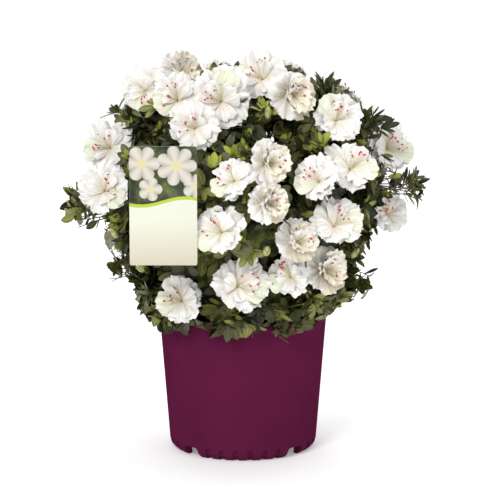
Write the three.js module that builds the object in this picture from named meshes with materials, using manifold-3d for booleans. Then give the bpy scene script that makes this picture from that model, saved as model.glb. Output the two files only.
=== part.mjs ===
// A white azalea shrub in bloom, growing in a round nursery pot, with a plant tag hung on one twig.
// Millimetres, +Z up. The origin lies on the ground under the pot's axis, and the front faces -Y.
import * as THREE from "three";
import { mergeVertices } from "three/addons/utils/BufferGeometryUtils.js";
import Module from "manifold-3d";

const wasm = await Module();
wasm.setup();

// ---- Driving dimensions ----

const clearance = 0.3; // between pieces that rest on or meet each other

// A number three nursery container: thin walled, tapered, on four feet with drain arches between them.
const pot = {
  height: 224,
  rimRadius: 135,
  rimDepth: 13,
  wallTopRadius: 131.5,
  wallFootRadius: 115.5,
  footRadius: 105,
  footRingWidth: 7,
  footRounding: 9,
  wall: 2.2,
  floorHeight: 24,
  feet: 4,
  archAngle: 15,
  archHeight: 16,
  flutesPerFoot: 6,
  fluteWidth: 8,
  fluteTop: 22,
  fluteDepth: 1.6,
  sides: 32,
};

const soil = { surface: 201, edge: 196, flatRadius: 45 };

const trunk = {
  top: 274,
  forkHeight: 252,
  neckRadius: 10.5,
  flare: 7,
  swelling: 1.5,
  lean: [3, -2],
};

// The leafy part of the shrub: how far its outline lies from its middle, by the rise in degrees.
// It is a little shallower from front to back than from side to side.
const canopy = {
  middle: 400,
  depthShare: 0.93,
  outline: [
    [-90, 236],
    [-55, 258],
    [-40, 236],
    [-25, 228],
    [-12, 240],
    [0, 258],
    [12, 260],
    [30, 248],
    [60, 229],
    [90, 208],
  ],
};

// Main boughs rise from the fork, and the boughs of the foliage masses leave them in turn.
const mainBoughs = { count: 5, firstAzimuth: 234, tipRadius: 58, tipHeight: 446, bendRadius: 46, bendHeight: 292 };
const mainThickness = { foot: 5.2, tip: 3.4 };
const boughThickness = { foot: 2.9, tip: 2.3 };
const firstFork = 0.42; // share of the main bough where its lowest bough leaves
const boughShare = 0.62; // how far a bough goes towards the middle of its mass

// Rings of foliage masses, from the top of the shrub down to the skirt that hangs over the rim.
const rings = [
  { name: "top", count: 4, firstAzimuth: 45, radius: 98, height: 548 },
  { name: "middle", count: 7, firstAzimuth: 270, radius: 190, height: 432 },
  { name: "lower", count: 6, firstAzimuth: 270, radius: 142, height: 286 },
];

const stem = { share: 0.66, foot: 3, tip: 2.4, sides: 4, steps: 4 };
const twig = { foot: 1.3, tip: 1, corners: 3, steps: 2, arrival: 0.42 };
const twigStarts = { lowest: 0.16, highest: 0.94, wanted: 0.8, swing: 0.34, tries: 7 }; // shares of the stem

// Shoots end in whorls of leaves, spread evenly over the canopy at changing depths.
const whorls = {
  spread: 152,
  deepest: 0.7,
  outermost: 0.87,
  lowestRise: -56,
  clearOfBloom: 6,
  flattening: 0.5,
  upturn: 0.3,
};
const leaf = {
  perWhorl: 6,
  length: 60,
  width: 28,
  widestAt: 0.46,
  rootRadius: 3,
  rootTop: 2.8,
  underRadius: 1.7,
  underDepth: 1.6,
  sectorShare: 0.94,
  lean: 62,
  leanChange: 22,
  sizes: [1, 0.82, 0.64, 0.46, 0.08],
};

// Blooms seen from the front: azimuth and rise on the canopy in degrees, width, form, and how much of
// the way that it faces is to the right and up, where 1 is all of it. The rest of it is to the front.
const frontBlooms = [
  [201, 48, 70, "open", -0.4, 0.5],
  [172, 64, 62, "cupped", 0.5, 0.55],
  [228, 48, 74, "open", 0, 0.56],
  [248, 34, 70, "open", 0.05, -0.2],
  [260, 52, 88, "open", 0.06, 0.2],
  [195, 23, 72, "open", -0.36, 0.43],
  [208, 6, 76, "open", -0.27, 0.5],
  [292, 68, 76, "open", -0.25, 0.72],
  [302, 48, 70, "cupped", 0.7, -0.35],
  [321, 36, 78, "open", 0.7, 0.45],
  [1, 18, 74, "open", 0.8, 0.25],
  [297, 14, 66, "open", -0.52, 0.62],
  [315, 16, 78, "open", 0.52, 0.64],
  [262, 16, 64, "open", -0.65, 0.38],
  [279, 20, 64, "cupped", 0.8, 0.1],
  [281, 2, 62, "cupped", 0.8, 0],
  [262, -5, 74, "open", -0.52, 0.14],
  [306, -4, 78, "open", 0.2, 0.7],
  [291, -14, 62, "cupped", 0.66, 0.4],
  [268, -31, 82, "open", 0.55, 0.4],
  [290, -31, 66, "open", -0.68, 0.26],
  [311, -29, 68, "cupped", 0.82, 0.05],
  [236, -40, 72, "open", -0.29, 0.29],
  [350, -6, 60, "open", 0.75, 0.2],
];
// Round the sides and back the blooms are spread evenly, as thick as in front.
const backBlooms = {
  spread: 46,
  across: 70,
  swing: 8,
  nearest: 72,
  frontEdge: -8,
  lowestRise: -46,
  cuppedShare: 0.25,
};
const bloom = {
  rimPoints: 15,
  lobes: 5,
  lobeDepth: 0.15,
  ruffle: 0.06,
  throat: -0.06,
  neck: -0.5,
  openLip: 0.24,
  cupLip: 0.62,
  cupSpread: 0.82,
  shareOfReach: 0.93,
  stalkRadius: 1.4,
};

// Long shoots set how far the shrub reaches to the left, right, front and back: the way that each one
// points, how far it reaches, how far to its left or right it ends, and its height.
const longShoots = [
  { way: 180, reach: 279, aside: 8, height: 384 },
  { way: 0, reach: 286, aside: 10, height: 410 },
  { way: 270, reach: 258, aside: 70, height: 392 },
  { way: 90, reach: 258, aside: 30, height: 410 },
];
const longShootLeaves = { lean: 26, share: 0.9 };

// A plastic plant tag that hangs by a loop at its back on a level twig.
const tag = {
  width: 100,
  height: 178,
  thickness: 1,
  middleX: -117,
  frontY: -226,
  top: 510,
  loopWidth: 8,
  loopReach: 11,
  loopHeight: 15,
  loopWall: 1,
  loopDrop: 4,
  twigRadius: 1.6,
  twigRun: 30,
  cornerRadius: 3,
};
const tagMass = "middle_7"; // the mass whose twig carries the tag

const hues = {
  pot: "#56203f",
  soil: "#3b2a1e",
  bark: "#6a5646",
  foliage: "#3f4a26",
  tag: "#f1efe4",
};

// ---- Geometry helpers ----

const radians = THREE.MathUtils.degToRad;
const degrees = THREE.MathUtils.radToDeg;
const lerp = THREE.MathUtils.lerp;
const up = new THREE.Vector3(0, 0, 1);
const goldenAngle = radians(137.508);

// A repeatable number from 0 to 1 for three whole numbers.
function chance(a, b, c) {
  const wave = Math.sin(a * 12.9898 + b * 78.233 + c * 37.719) * 43758.5453;
  return wave - Math.floor(wave);
}

function polar(azimuth, radius, height) {
  return new THREE.Vector3(
    radius * Math.cos(radians(azimuth)),
    radius * Math.sin(radians(azimuth)),
    height,
  );
}

// A closed three.js geometry as a solid that can be joined and cut.
function solidOf(geometry) {
  const bare = new THREE.BufferGeometry();
  bare.setAttribute("position", geometry.getAttribute("position"));
  bare.setIndex(geometry.index);
  const merged = mergeVertices(bare, 1e-3);
  const corners = merged.index.array;
  const kept = [];
  for (let i = 0; i < corners.length; i += 3) {
    const [a, b, c] = [corners[i], corners[i + 1], corners[i + 2]];
    if (a !== b && b !== c && c !== a) kept.push(a, b, c);
  }
  return new wasm.Manifold(
    new wasm.Mesh({
      numProp: 3,
      vertProperties: merged.attributes.position.array,
      triVerts: new Uint32Array(kept),
    }),
  );
}

function joined(solids) {
  return wasm.Manifold.union(solids);
}

// The biggest body of a solid, without the scraps that a cut may leave.
function mainBody(solid) {
  return solid.decompose().sort((a, b) => b.volume() - a.volume())[0];
}

// A solid's triangles, the largest first: a broad first face tells a reader surely which side is out.
function trianglesOf({ vertProperties, triVerts, numProp }) {
  const corner = (i) => new THREE.Vector3().fromArray(vertProperties, triVerts[i] * numProp);
  const triangles = [];
  for (let i = 0; i < triVerts.length; i += 3) {
    triangles.push(new THREE.Triangle(corner(i), corner(i + 1), corner(i + 2)));
  }
  return triangles.sort((one, other) => other.getArea() - one.getArea());
}

function meshOf(name, solid, hue, roughness) {
  const corners = trianglesOf(mainBody(solid).getMesh()).flatMap(({ a, b, c }) => [a, b, c]);
  const geometry = new THREE.BufferGeometry().setFromPoints(corners);
  geometry.computeVertexNormals();
  const material = new THREE.MeshStandardMaterial({ color: hue, roughness, metalness: 0 });
  const mesh = new THREE.Mesh(geometry, material);
  mesh.name = name;
  return mesh;
}

// A cylinder bent along a curve, with its radius given by the share of the way along.
function limb(curve, radiusAt, sides, steps, swell = 0) {
  const geometry = new THREE.CylinderGeometry(1, 1, 1, sides, steps);
  const frames = curve.computeFrenetFrames(steps, false);
  const places = geometry.attributes.position;
  for (let i = 0; i < places.count; i++) {
    const share = places.getY(i) + 0.5;
    const step = Math.round(share * steps);
    const radius = radiusAt(share) + swell;
    const point = curve
      .getPointAt(share)
      .addScaledVector(frames.binormals[step], places.getX(i) * radius)
      .addScaledVector(frames.normals[step], places.getZ(i) * radius);
    places.setXYZ(i, point.x, point.y, point.z);
  }
  return solidOf(geometry);
}

function taper(thickness) {
  return (share) => lerp(thickness.foot, thickness.tip, share);
}

// A profile of radius and height turned about the Z axis.
function turned(profile, sides) {
  const points = profile.map(([radius, height]) => new THREE.Vector2(radius, height));
  return new THREE.LatheGeometry(points, sides).rotateX(Math.PI / 2);
}

// ---- Pot and soil ----

function wallRadiusAt(height) {
  const share = (height - pot.footRounding) / (pot.height - pot.rimDepth - pot.footRounding);
  return lerp(pot.wallFootRadius, pot.wallTopRadius, share);
}

function buildPot() {
  const inner = (height) => wallRadiusAt(height) - pot.wall;
  const lipEdge = 1.5;
  const profile = [
    [0, pot.floorHeight - pot.wall],
    [pot.footRadius - pot.footRingWidth + 2, pot.floorHeight - pot.wall],
    [pot.footRadius - pot.footRingWidth, 0],
    [pot.footRadius, 0],
    [lerp(pot.footRadius, pot.wallFootRadius, 0.75), pot.footRounding * 0.4],
    [wallRadiusAt(pot.footRounding * 1.4), pot.footRounding * 1.4],
    [pot.wallTopRadius, pot.height - pot.rimDepth],
    [pot.rimRadius, pot.height - pot.rimDepth + lipEdge],
    [pot.rimRadius, pot.height - lipEdge],
    [pot.rimRadius - lipEdge, pot.height],
    [inner(pot.height) + 1, pot.height],
    [inner(pot.height), pot.height - lipEdge],
    [inner(pot.floorHeight), pot.floorHeight],
    [0, pot.floorHeight],
  ];
  const shell = solidOf(turned(profile, pot.sides));
  const cuts = [];
  for (let foot = 0; foot < pot.feet; foot++) {
    const footAngle = -90 + (foot * 360) / pot.feet;
    cuts.push(archCut(footAngle + 180 / pot.feet));
    for (let flute = 0; flute < pot.flutesPerFoot; flute++) {
      const offset = (flute - (pot.flutesPerFoot - 1) / 2) * (360 / pot.sides);
      cuts.push(fluteCut(footAngle + offset));
    }
  }
  return shell.subtract(joined(cuts));
}

// A round-shouldered opening through the foot ring, from the ground up.
function archCut(angle) {
  const half = pot.wallFootRadius * Math.sin(radians(pot.archAngle / 2));
  const shoulder = 4;
  const outline = new THREE.Shape();
  outline.moveTo(-half, -shoulder);
  outline.lineTo(half, -shoulder);
  outline.lineTo(half, pot.archHeight - shoulder);
  outline.absarc(half - shoulder, pot.archHeight - shoulder, shoulder, 0, Math.PI / 2, false);
  outline.lineTo(shoulder - half, pot.archHeight);
  outline.absarc(shoulder - half, pot.archHeight - shoulder, shoulder, Math.PI / 2, Math.PI, false);
  outline.closePath();
  const block = new THREE.ExtrudeGeometry(outline, { depth: 40, bevelEnabled: false, curveSegments: 2 });
  const inner = polar(angle, pot.footRadius - pot.footRingWidth - 8, 0);
  block.rotateX(Math.PI / 2).rotateZ(radians(angle + 90));
  return solidOf(block.translate(inner.x, inner.y, 0));
}

// An upright groove pressed into the outside of a foot, which runs out into the wall at its top.
function fluteCut(angle) {
  const depth = pot.fluteDepth;
  const outline = new THREE.Shape();
  outline.moveTo(pot.footRadius - depth - 1, -2);
  outline.lineTo(wallRadiusAt(pot.footRounding) - depth, pot.footRounding + 3);
  outline.lineTo(wallRadiusAt(pot.fluteTop) + 0.3, pot.fluteTop);
  outline.lineTo(pot.rimRadius, pot.fluteTop);
  outline.lineTo(pot.rimRadius, -2);
  outline.closePath();
  const block = new THREE.ExtrudeGeometry(outline, { depth: pot.fluteWidth, bevelEnabled: false });
  block.rotateX(Math.PI / 2).translate(0, pot.fluteWidth / 2, 0).rotateZ(radians(angle));
  return solidOf(block);
}

function buildSoil() {
  const inner = (height) => wallRadiusAt(height) - pot.wall - clearance - 0.05;
  const bottom = pot.floorHeight + clearance;
  const profile = [
    [0, bottom],
    [inner(bottom), bottom],
    [inner(soil.edge), soil.edge],
    [soil.flatRadius * 2, lerp(soil.edge, soil.surface, 0.7)],
    [soil.flatRadius, soil.surface],
    [0, soil.surface],
  ];
  return solidOf(turned(profile, pot.sides));
}

// ---- Trunk and boughs ----

const trunkCurve = new THREE.QuadraticBezierCurve3(
  new THREE.Vector3(0, 0, soil.surface + clearance),
  new THREE.Vector3(0, 0, lerp(soil.surface, trunk.top, 0.5)),
  new THREE.Vector3(trunk.lean[0], trunk.lean[1], trunk.top),
);

function trunkRadius(share) {
  const flare = trunk.flare * (1 - share) ** 4;
  return trunk.neckRadius + flare + trunk.swelling * share ** 3;
}

const mains = [];
for (let i = 0; i < mainBoughs.count; i++) {
  const azimuth = mainBoughs.firstAzimuth + (i * 360) / mainBoughs.count;
  const sway = (chance(i, 1, 1) - 0.5) * 26;
  const curve = new THREE.QuadraticBezierCurve3(
    new THREE.Vector3(trunk.lean[0] * 0.7, trunk.lean[1] * 0.7, trunk.forkHeight),
    polar(azimuth, mainBoughs.bendRadius, mainBoughs.bendHeight),
    polar(azimuth + sway, mainBoughs.tipRadius, mainBoughs.tipHeight + (chance(i, 2, 1) - 0.5) * 20),
  );
  mains.push({ azimuth, curve, masses: [] });
}

const masses = [];
for (const [ringIndex, ring] of rings.entries()) {
  for (let i = 0; i < ring.count; i++) {
    const azimuth = ring.firstAzimuth + (i * 360) / ring.count;
    masses.push({
      name: `${ring.name}_${i + 1}`,
      key: ringIndex * 10 + i + 1,
      azimuth,
      middle: polar(azimuth, ring.radius, ring.height),
    });
  }
}

function angleBetween(a, b) {
  const turnedBy = Math.abs((((a - b) % 360) + 540) % 360 - 180);
  return turnedBy;
}

for (const mass of masses) {
  const nearest = mains.reduce((best, main) =>
    angleBetween(main.azimuth, mass.azimuth) < angleBetween(best.azimuth, mass.azimuth) - 0.01 ? main : best,
  );
  nearest.masses.push(mass);
}

// Each bough starts on its main bough, the lowest first, and the last one carries on from its tip.
for (const main of mains) {
  main.masses.sort((a, b) => a.middle.z - b.middle.z || a.key - b.key);
  main.masses.forEach((mass, i) => {
    const last = main.masses.length - 1;
    const share = lerp(firstFork, 1, i / last);
    const fromTip = i === last;
    const start = main.curve.getPoint(share);
    const along = main.curve.getTangent(share);
    if (fromTip) start.addScaledVector(along, clearance);
    const foot = new THREE.Vector3(0, 0, lerp(trunk.top, mass.middle.z, 0.75));
    const end = foot.lerp(mass.middle, boughShare);
    const run = start.distanceTo(end);
    const bend = start.clone().addScaledVector(along, run * (fromTip ? 0.4 : 0.25));
    bend.lerp(start.clone().lerp(end, 0.5), fromTip ? 0 : 0.3);
    mass.main = main;
    mass.fromTip = fromTip;
    mass.bough = new THREE.QuadraticBezierCurve3(start, bend, end);
  });
}

// ---- Canopy, spaces and obstacles ----

function outlineAt(rise) {
  const upper = canopy.outline.findIndex(([angle]) => angle >= rise);
  const [highAngle, high] = canopy.outline[Math.max(upper, 1)];
  const [lowAngle, low] = canopy.outline[Math.max(upper, 1) - 1];
  return lerp(low, high, (rise - lowAngle) / (highAngle - lowAngle));
}

// How far out a point lies, where 1 is the canopy's edge.
function reachOf(point) {
  const offset = new THREE.Vector3(point.x, point.y / canopy.depthShare, point.z - canopy.middle);
  const rise = degrees(Math.atan2(offset.z, Math.hypot(offset.x, offset.y)));
  return offset.length() / outlineAt(rise);
}

function canopyPoint(azimuth, rise, share) {
  const distance = outlineAt(rise) * share;
  const point = polar(azimuth, distance * Math.cos(radians(rise)), distance * Math.sin(radians(rise)));
  return point.multiply(new THREE.Vector3(1, canopy.depthShare, 1)).setZ(canopy.middle + point.z);
}

function outwardAt(point) {
  return new THREE.Vector3(point.x, point.y / canopy.depthShare, point.z - canopy.middle).normalize();
}

// How far a point lies inside the space of its mass, measured from the nearest neighbour's boundary.
function roomIn(mass, point) {
  let room = Infinity;
  for (const other of masses) {
    if (other === mass) continue;
    const across = other.middle.clone().sub(mass.middle);
    const midway = mass.middle.clone().lerp(other.middle, 0.5);
    room = Math.min(room, midway.sub(point).dot(across) / across.length());
  }
  return room;
}

function ownerOf(point) {
  return masses.reduce((best, other) =>
    other.middle.distanceTo(point) < best.middle.distanceTo(point) ? other : best,
  );
}

function overPot(point) {
  const radius = Math.hypot(point.x, point.y);
  return radius < pot.rimRadius + 1.5 && point.z < pot.height + 1.5;
}

const tagKeepOut = new THREE.Box3(
  new THREE.Vector3(tag.middleX - tag.width / 2 - 2, -400, tag.top - tag.height - 2),
  new THREE.Vector3(tag.middleX + tag.width / 2 + 2, tag.frontY + tag.thickness + 3, tag.top + 3),
);
const loopKeepOut = new THREE.Box3(
  new THREE.Vector3(tag.middleX - tag.loopWidth, tag.frontY, tag.top - tag.loopDrop - tag.loopHeight - 4),
  new THREE.Vector3(tag.middleX + tag.loopWidth, tag.frontY + tag.loopReach + 6, tag.top + 4),
);

const limbs = [
  { curve: trunkCurve, radiusAt: trunkRadius },
  ...mains.map((main) => ({ curve: main.curve, radiusAt: taper(mainThickness) })),
  ...masses.map((mass) => ({ curve: mass.bough, radiusAt: taper(boughThickness) })),
].map(({ curve, radiusAt }) => {
  const samples = 14;
  const points = curve.getPoints(samples);
  return points.slice(1).map((end, i) => ({
    line: new THREE.Line3(points[i], end),
    radius: radiusAt(i / samples),
  }));
});
const limbPieces = limbs.flat();

function touchesLimb(point, margin) {
  const nearest = new THREE.Vector3();
  return limbPieces.some(
    ({ line, radius }) =>
      line.closestPointToPoint(point, true, nearest).distanceTo(point) < radius + margin,
  );
}

// ---- Blooms ----

const blooms = [];

function addBloom(place, across, form, facing) {
  const radius = across / 2;
  const neck = place.clone().addScaledVector(facing, bloom.neck * radius);
  blooms.push({ place, facing, radius, form, mass: ownerOf(place), neck, key: blooms.length + 1 });
}

for (const [azimuth, rise, across, form, right, upward] of frontBlooms) {
  const facing = new THREE.Vector3(right, -Math.sqrt(1 - right ** 2 - upward ** 2), upward);
  addBloom(canopyPoint(azimuth, rise, bloom.shareOfReach), across, form, facing);
}
for (let i = 0; i < backBlooms.spread; i++) {
  const rise = degrees(Math.asin(1 - (2 * (i + 0.5)) / backBlooms.spread));
  const place = canopyPoint(degrees(i * goldenAngle), rise, bloom.shareOfReach);
  const crowded = blooms.some((other) => other.place.distanceTo(place) < backBlooms.nearest);
  if (place.y < backBlooms.frontEdge || rise < backBlooms.lowestRise || crowded) continue;
  const across = backBlooms.across + (chance(i, 3, 3) - 0.5) * 2 * backBlooms.swing;
  const cupped = chance(i, 4, 3) < backBlooms.cuppedShare;
  const facing = outwardAt(place).multiplyScalar(0.8).addScaledVector(up, 0.22);
  if (cupped) facing.multiplyScalar(0.75).add(new THREE.Vector3(-place.y, place.x, 0).setLength(0.9));
  addBloom(place, across, cupped ? "cupped" : "open", facing.normalize());
}

function insideBloom(point, margin, except) {
  return blooms.some((other) => {
    if (other === except) return false;
    const cupped = other.form === "cupped";
    const lip = (cupped ? bloom.cupLip : bloom.openLip) * other.radius;
    const offset = point.clone().sub(other.place);
    const along = offset.dot(other.facing);
    const across = Math.sqrt(Math.max(0, offset.lengthSq() - along * along));
    const wide = other.radius * (cupped ? bloom.cupSpread : 1) + margin;
    const low = (bloom.neck * other.radius) / 2 - margin;
    return across < wide && along > low && along < lip + margin;
  });
}

// ---- Shoots ----

// Where a curve's rings lie, each with its middle, its axis and two directions across it.
function framesOf(curve, steps) {
  const { tangents, normals, binormals } = curve.computeFrenetFrames(steps, false);
  return tangents.map((axis, i) => ({
    middle: curve.getPointAt(i / steps),
    axis,
    across: normals[i],
    aside: binormals[i],
  }));
}

function pointRound(frame, angle, radius, rise = 0) {
  return frame.middle
    .clone()
    .addScaledVector(frame.across, radius * Math.cos(angle))
    .addScaledVector(frame.aside, radius * Math.sin(angle))
    .addScaledVector(frame.axis, rise);
}

// The three corners of a twig at each of its frames, turned about its axis.
function twigRings(frames, thickness, turn) {
  return frames.map((frame, step) => {
    const radius = lerp(thickness.foot, thickness.tip, step / twig.steps);
    return [0, 1, 2].map((corner) =>
      pointRound(frame, radians(turn + (corner * 360) / twig.corners), radius),
    );
  });
}

// A closed skin over rings of points, each ring with as many points as the last or a whole number of
// times more, that ends over the middle of the last ring.
function shootSolid(rings, middle) {
  const faces = [rings[0][2], rings[0][1], rings[0][0]];
  for (let step = 1; step < rings.length; step++) {
    const [low, high] = [rings[step - 1], rings[step]];
    const share = high.length / low.length;
    low.forEach((corner, k) => {
      for (let j = 0; j < share; j++) {
        faces.push(corner, high[(k * share + j + 1) % high.length], high[k * share + j]);
      }
      faces.push(corner, low[(k + 1) % low.length], high[((k + 1) * share) % high.length]);
    });
  }
  const rim = rings.at(-1);
  rim.forEach((point, i) => faces.push(middle, point, rim[(i + 1) % rim.length]));
  return solidOf(new THREE.BufferGeometry().setFromPoints(faces));
}

// A five-lobed, ruffled bloom on its stalk: a dish from the throat out to the lip.
function bloomSolid(frames, { radius, form, key }) {
  const end = frames.at(-1);
  const cupped = form === "cupped";
  const lip = (cupped ? bloom.cupLip : bloom.openLip) - bloom.neck;
  const spread = cupped ? bloom.cupSpread : 1;
  const rim = Array.from({ length: bloom.rimPoints }, (_, i) => {
    const angle = (i * 2 * Math.PI) / bloom.rimPoints;
    const betweenLobes = i % (bloom.rimPoints / bloom.lobes) === 0;
    const out = radius * spread * (betweenLobes ? 1 - bloom.lobeDepth : 1);
    const rise = radius * (lip + bloom.ruffle * (chance(key, i, 2) - 0.5) * 2);
    return pointRound(end, angle, out, rise);
  });
  const throat = pointRound(end, 0, 0, radius * (bloom.throat - bloom.neck));
  const stalk = twigRings(frames, { foot: bloom.stalkRadius, tip: bloom.stalkRadius }, 60);
  return shootSolid([...stalk, rim], throat);
}

// ---- Foliage ----

function isFree(mass, point, margin, limbMargin, furthest = 1) {
  return (
    reachOf(point) < furthest &&
    roomIn(mass, point) > margin &&
    !overPot(point) &&
    !tagKeepOut.containsPoint(point) &&
    !loopKeepOut.containsPoint(point) &&
    !insideBloom(point, margin) &&
    !touchesLimb(point, limbMargin)
  );
}

// The widest points and the tip of a leaf, in their order round the whorl. A leaf is never wider than
// its sector of the whorl.
function leafOutline(frame, angle, lean, size) {
  const radial = pointRound(frame, angle, 1).sub(frame.middle);
  const sideways = frame.axis.clone().cross(radial);
  const direction = frame.axis.clone().multiplyScalar(Math.cos(lean)).addScaledVector(radial, Math.sin(lean));
  const sector = Math.sin(lean) * Math.tan(Math.PI / leaf.perWhorl) * leaf.sectorShare;
  const half = Math.min(leaf.width / 2, leaf.length * leaf.widestAt * sector) * size;
  const at = (share, side) =>
    frame.middle
      .clone()
      .addScaledVector(direction, leaf.length * size * share)
      .addScaledVector(sideways, half * side);
  return [at(leaf.widestAt, -1), at(1, 0), at(leaf.widestAt, 1)];
}

const sight = new THREE.Ray();
const hit = new THREE.Vector3();

function passesThrough(from, to, [root, left, tip, right]) {
  const run = from.distanceTo(to);
  sight.origin.copy(from);
  sight.direction.copy(to).sub(from).normalize();
  const meets = (side) => sight.intersectTriangle(root, side, tip, false, hit) && from.distanceTo(hit) < run;
  return meets(left) || meets(right);
}

function leavesCross(a, b) {
  return [0, 1, 2, 3].some((i) => {
    const next = (i + 1) % 4;
    return passesThrough(a[i], a[next], b) || passesThrough(b[i], b[next], a);
  });
}

// A leaf's place is free when it keeps to the mass's space and crosses none of its twigs and leaves.
function leafIsFree(mass, frame, outline, furthest) {
  const corners = [frame.middle, ...outline];
  if (mass.leaves.some((other) => other[0] !== frame.middle && leavesCross(corners, other))) return false;
  if (mass.twigs.some(([from, to]) => to !== frame.middle && passesThrough(from, to, corners))) return false;
  const heart = outline[0].clone().lerp(outline[2], 0.5);
  return corners.every((corner, i) => {
    const next = corners[(i + 1) % corners.length];
    return [0.25, 0.5, 0.75, 1].every(
      (share) =>
        isFree(mass, corner.clone().lerp(next, share), 1.5, 2, furthest) &&
        isFree(mass, heart.clone().lerp(corner, share), 1.5, 2, furthest),
    );
  });
}

// The rim of a whorl: leaves side by side, each as long as its place allows.
function whorlRim(mass, frame, { key, lean, furthest = 1 }) {
  const sector = (2 * Math.PI) / leaf.perWhorl;
  const rim = [];
  for (let i = 0; i < leaf.perWhorl; i++) {
    const tilt = radians(lean + (chance(mass.key, key * 10 + i, 6) - 0.5) * leaf.leanChange);
    const own = lerp(0.88, 1.05, chance(mass.key, key * 10 + i, 7));
    const outlines = leaf.sizes.map((size) => leafOutline(frame, (i + 0.5) * sector, tilt, size * own));
    const fitting = outlines.find((outline) => leafIsFree(mass, frame, outline, furthest));
    const chosen = fitting ?? outlines.at(-1);
    mass.leaves.push([frame.middle, ...chosen]);
    rim.push(pointRound(frame, i * sector, leaf.rootRadius), ...chosen);
  }
  return rim;
}

// A twig that ends in a whorl. Each leaf is a wedge between a point under its root and one over them all.
function whorlSolid(mass, frames, whorl) {
  const end = frames.at(-1);
  const sector = (2 * Math.PI) / leaf.perWhorl;
  const under = Array.from({ length: leaf.perWhorl }, (_, i) =>
    pointRound(end, (i + 0.5) * sector, leaf.underRadius, -leaf.underDepth),
  );
  const rings = twigRings(frames.slice(0, -1), twig, 90);
  return shootSolid([...rings, under, whorlRim(mass, end, whorl)], pointRound(end, 0, 0, leaf.rootTop));
}

// A twig from the mass's stem that arrives at its end along a given direction.
function twigCurve(from, end, direction) {
  const run = from.distanceTo(end);
  const bend = end.clone().addScaledVector(direction, -run * twig.arrival);
  return new THREE.QuadraticBezierCurve3(from, bend, end);
}

function isClearPath(mass, curve) {
  const samples = 12;
  for (let i = 3; i <= samples; i++) {
    if (!isFree(mass, curve.getPoint(i / samples), 2.5, 3)) return false;
  }
  return true;
}

function stemCurve(mass) {
  const bough = mass.bough;
  const along = bough.getTangent(1);
  const start = bough.getPoint(1).addScaledVector(along, clearance);
  const heart = new THREE.Vector3(0, 0, lerp(trunk.top, mass.middle.z, 0.75));
  const outward = mass.middle.clone().sub(heart).normalize();
  let length = 20;
  while (reachOf(start.clone().addScaledVector(outward, length)) < stem.share) length += 2;
  const end = start.clone().addScaledVector(outward, length);
  const bend = start.clone().addScaledVector(along, length * 0.45);
  return new THREE.QuadraticBezierCurve3(start, bend, end);
}

// Even places for the whorls: a golden-angle spiral from the top of the canopy down.
function whorlPlaces() {
  const places = [];
  for (let i = 0; i < whorls.spread; i++) {
    const rise = degrees(Math.asin(1 - (2 * (i + 0.5)) / whorls.spread));
    const azimuth = degrees(i * goldenAngle);
    const share = lerp(whorls.deepest, whorls.outermost, Math.sqrt(chance(i, 5, 4)));
    const point = canopyPoint(azimuth, rise, share);
    if (rise < whorls.lowestRise) continue;
    if (blooms.some((one) => one.place.distanceTo(point) < one.radius + whorls.clearOfBloom)) continue;
    const direction = outwardAt(point);
    if (rise < 0) direction.z *= whorls.flattening;
    direction.addScaledVector(up, whorls.upturn).normalize();
    places.push({ point, direction, key: i + 1, mass: ownerOf(point) });
  }
  return places;
}

const allWhorls = whorlPlaces();

function longShootTip({ way, reach, aside, height }) {
  return polar(way, reach, height).add(polar(way + 90, aside, 0));
}

// A point on the stem's straight pieces.
function stemPoint(nodes, share) {
  const steps = nodes.length - 1;
  const step = Math.min(Math.floor(share * steps), steps - 1);
  return nodes[step].clone().lerp(nodes[step + 1], share * steps - step);
}

function buildMass(mass) {
  const curve = stemCurve(mass);
  const nodes = curve.getSpacedPoints(stem.steps);
  const parts = [limb(curve, taper(stem), stem.sides, stem.steps)];
  const flowers = blooms.filter((one) => one.mass === mass);
  const shoots = longShoots.filter((one) => ownerOf(longShootTip(one)) === mass);
  const leafy = allWhorls.filter((one) => one.mass === mass);
  mass.leaves = [];
  mass.twigs = [];
  // Every twig leaves the stem at a place of its own.
  const places = flowers.length + shoots.length + leafy.length + 1;
  const starts = Array.from({ length: places }, (_, i) =>
    lerp(twigStarts.lowest, twigStarts.highest, i / (places - 1)),
  );
  const grow = (key, end, direction, isClear = () => true) => {
    const wanted = twigStarts.wanted - twigStarts.swing * chance(mass.key, key, 9);
    starts.sort((a, b) => Math.abs(a - wanted) - Math.abs(b - wanted));
    const ways = starts
      .slice(0, twigStarts.tries)
      .map((share) => twigCurve(stemPoint(nodes, share), end, direction));
    const chosen = ways.findIndex(isClear);
    if (chosen < 0) return undefined;
    starts.splice(chosen, 1);
    const frames = framesOf(ways[chosen], twig.steps);
    frames.slice(1).forEach((frame, i) => mass.twigs.push([frames[i].middle, frame.middle]));
    return frames;
  };
  for (const flower of flowers) {
    parts.push(bloomSolid(grow(flower.key, flower.neck, flower.facing), flower));
  }
  const ends = [];
  for (const shoot of shoots) {
    const key = 300 + shoot.way;
    const out = polar(shoot.way, 1, 0);
    const end = longShootTip(shoot).addScaledVector(out, -leaf.length * longShootLeaves.share);
    ends.push({ frames: grow(key, end, out), key, lean: longShootLeaves.lean, furthest: 1.3 });
  }
  for (const { point, direction, key } of leafy) {
    const frames = grow(key, point, direction, (way) => isClearPath(mass, way));
    if (frames) ends.push({ frames, key, lean: leaf.lean });
  }
  if (mass.name === tagMass) parts.push(...tagTwig(mass, stemPoint(nodes, starts.at(-1))));
  for (const end of ends) parts.push(whorlSolid(mass, end.frames, end));
  return joined(parts);
}

// ---- Tag ----

const loopTop = tag.top - tag.loopDrop;
const twigHeight = loopTop - tag.loopWall - clearance - tag.twigRadius;
const twigDepth = tag.frontY + tag.thickness + tag.loopReach / 2;

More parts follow.
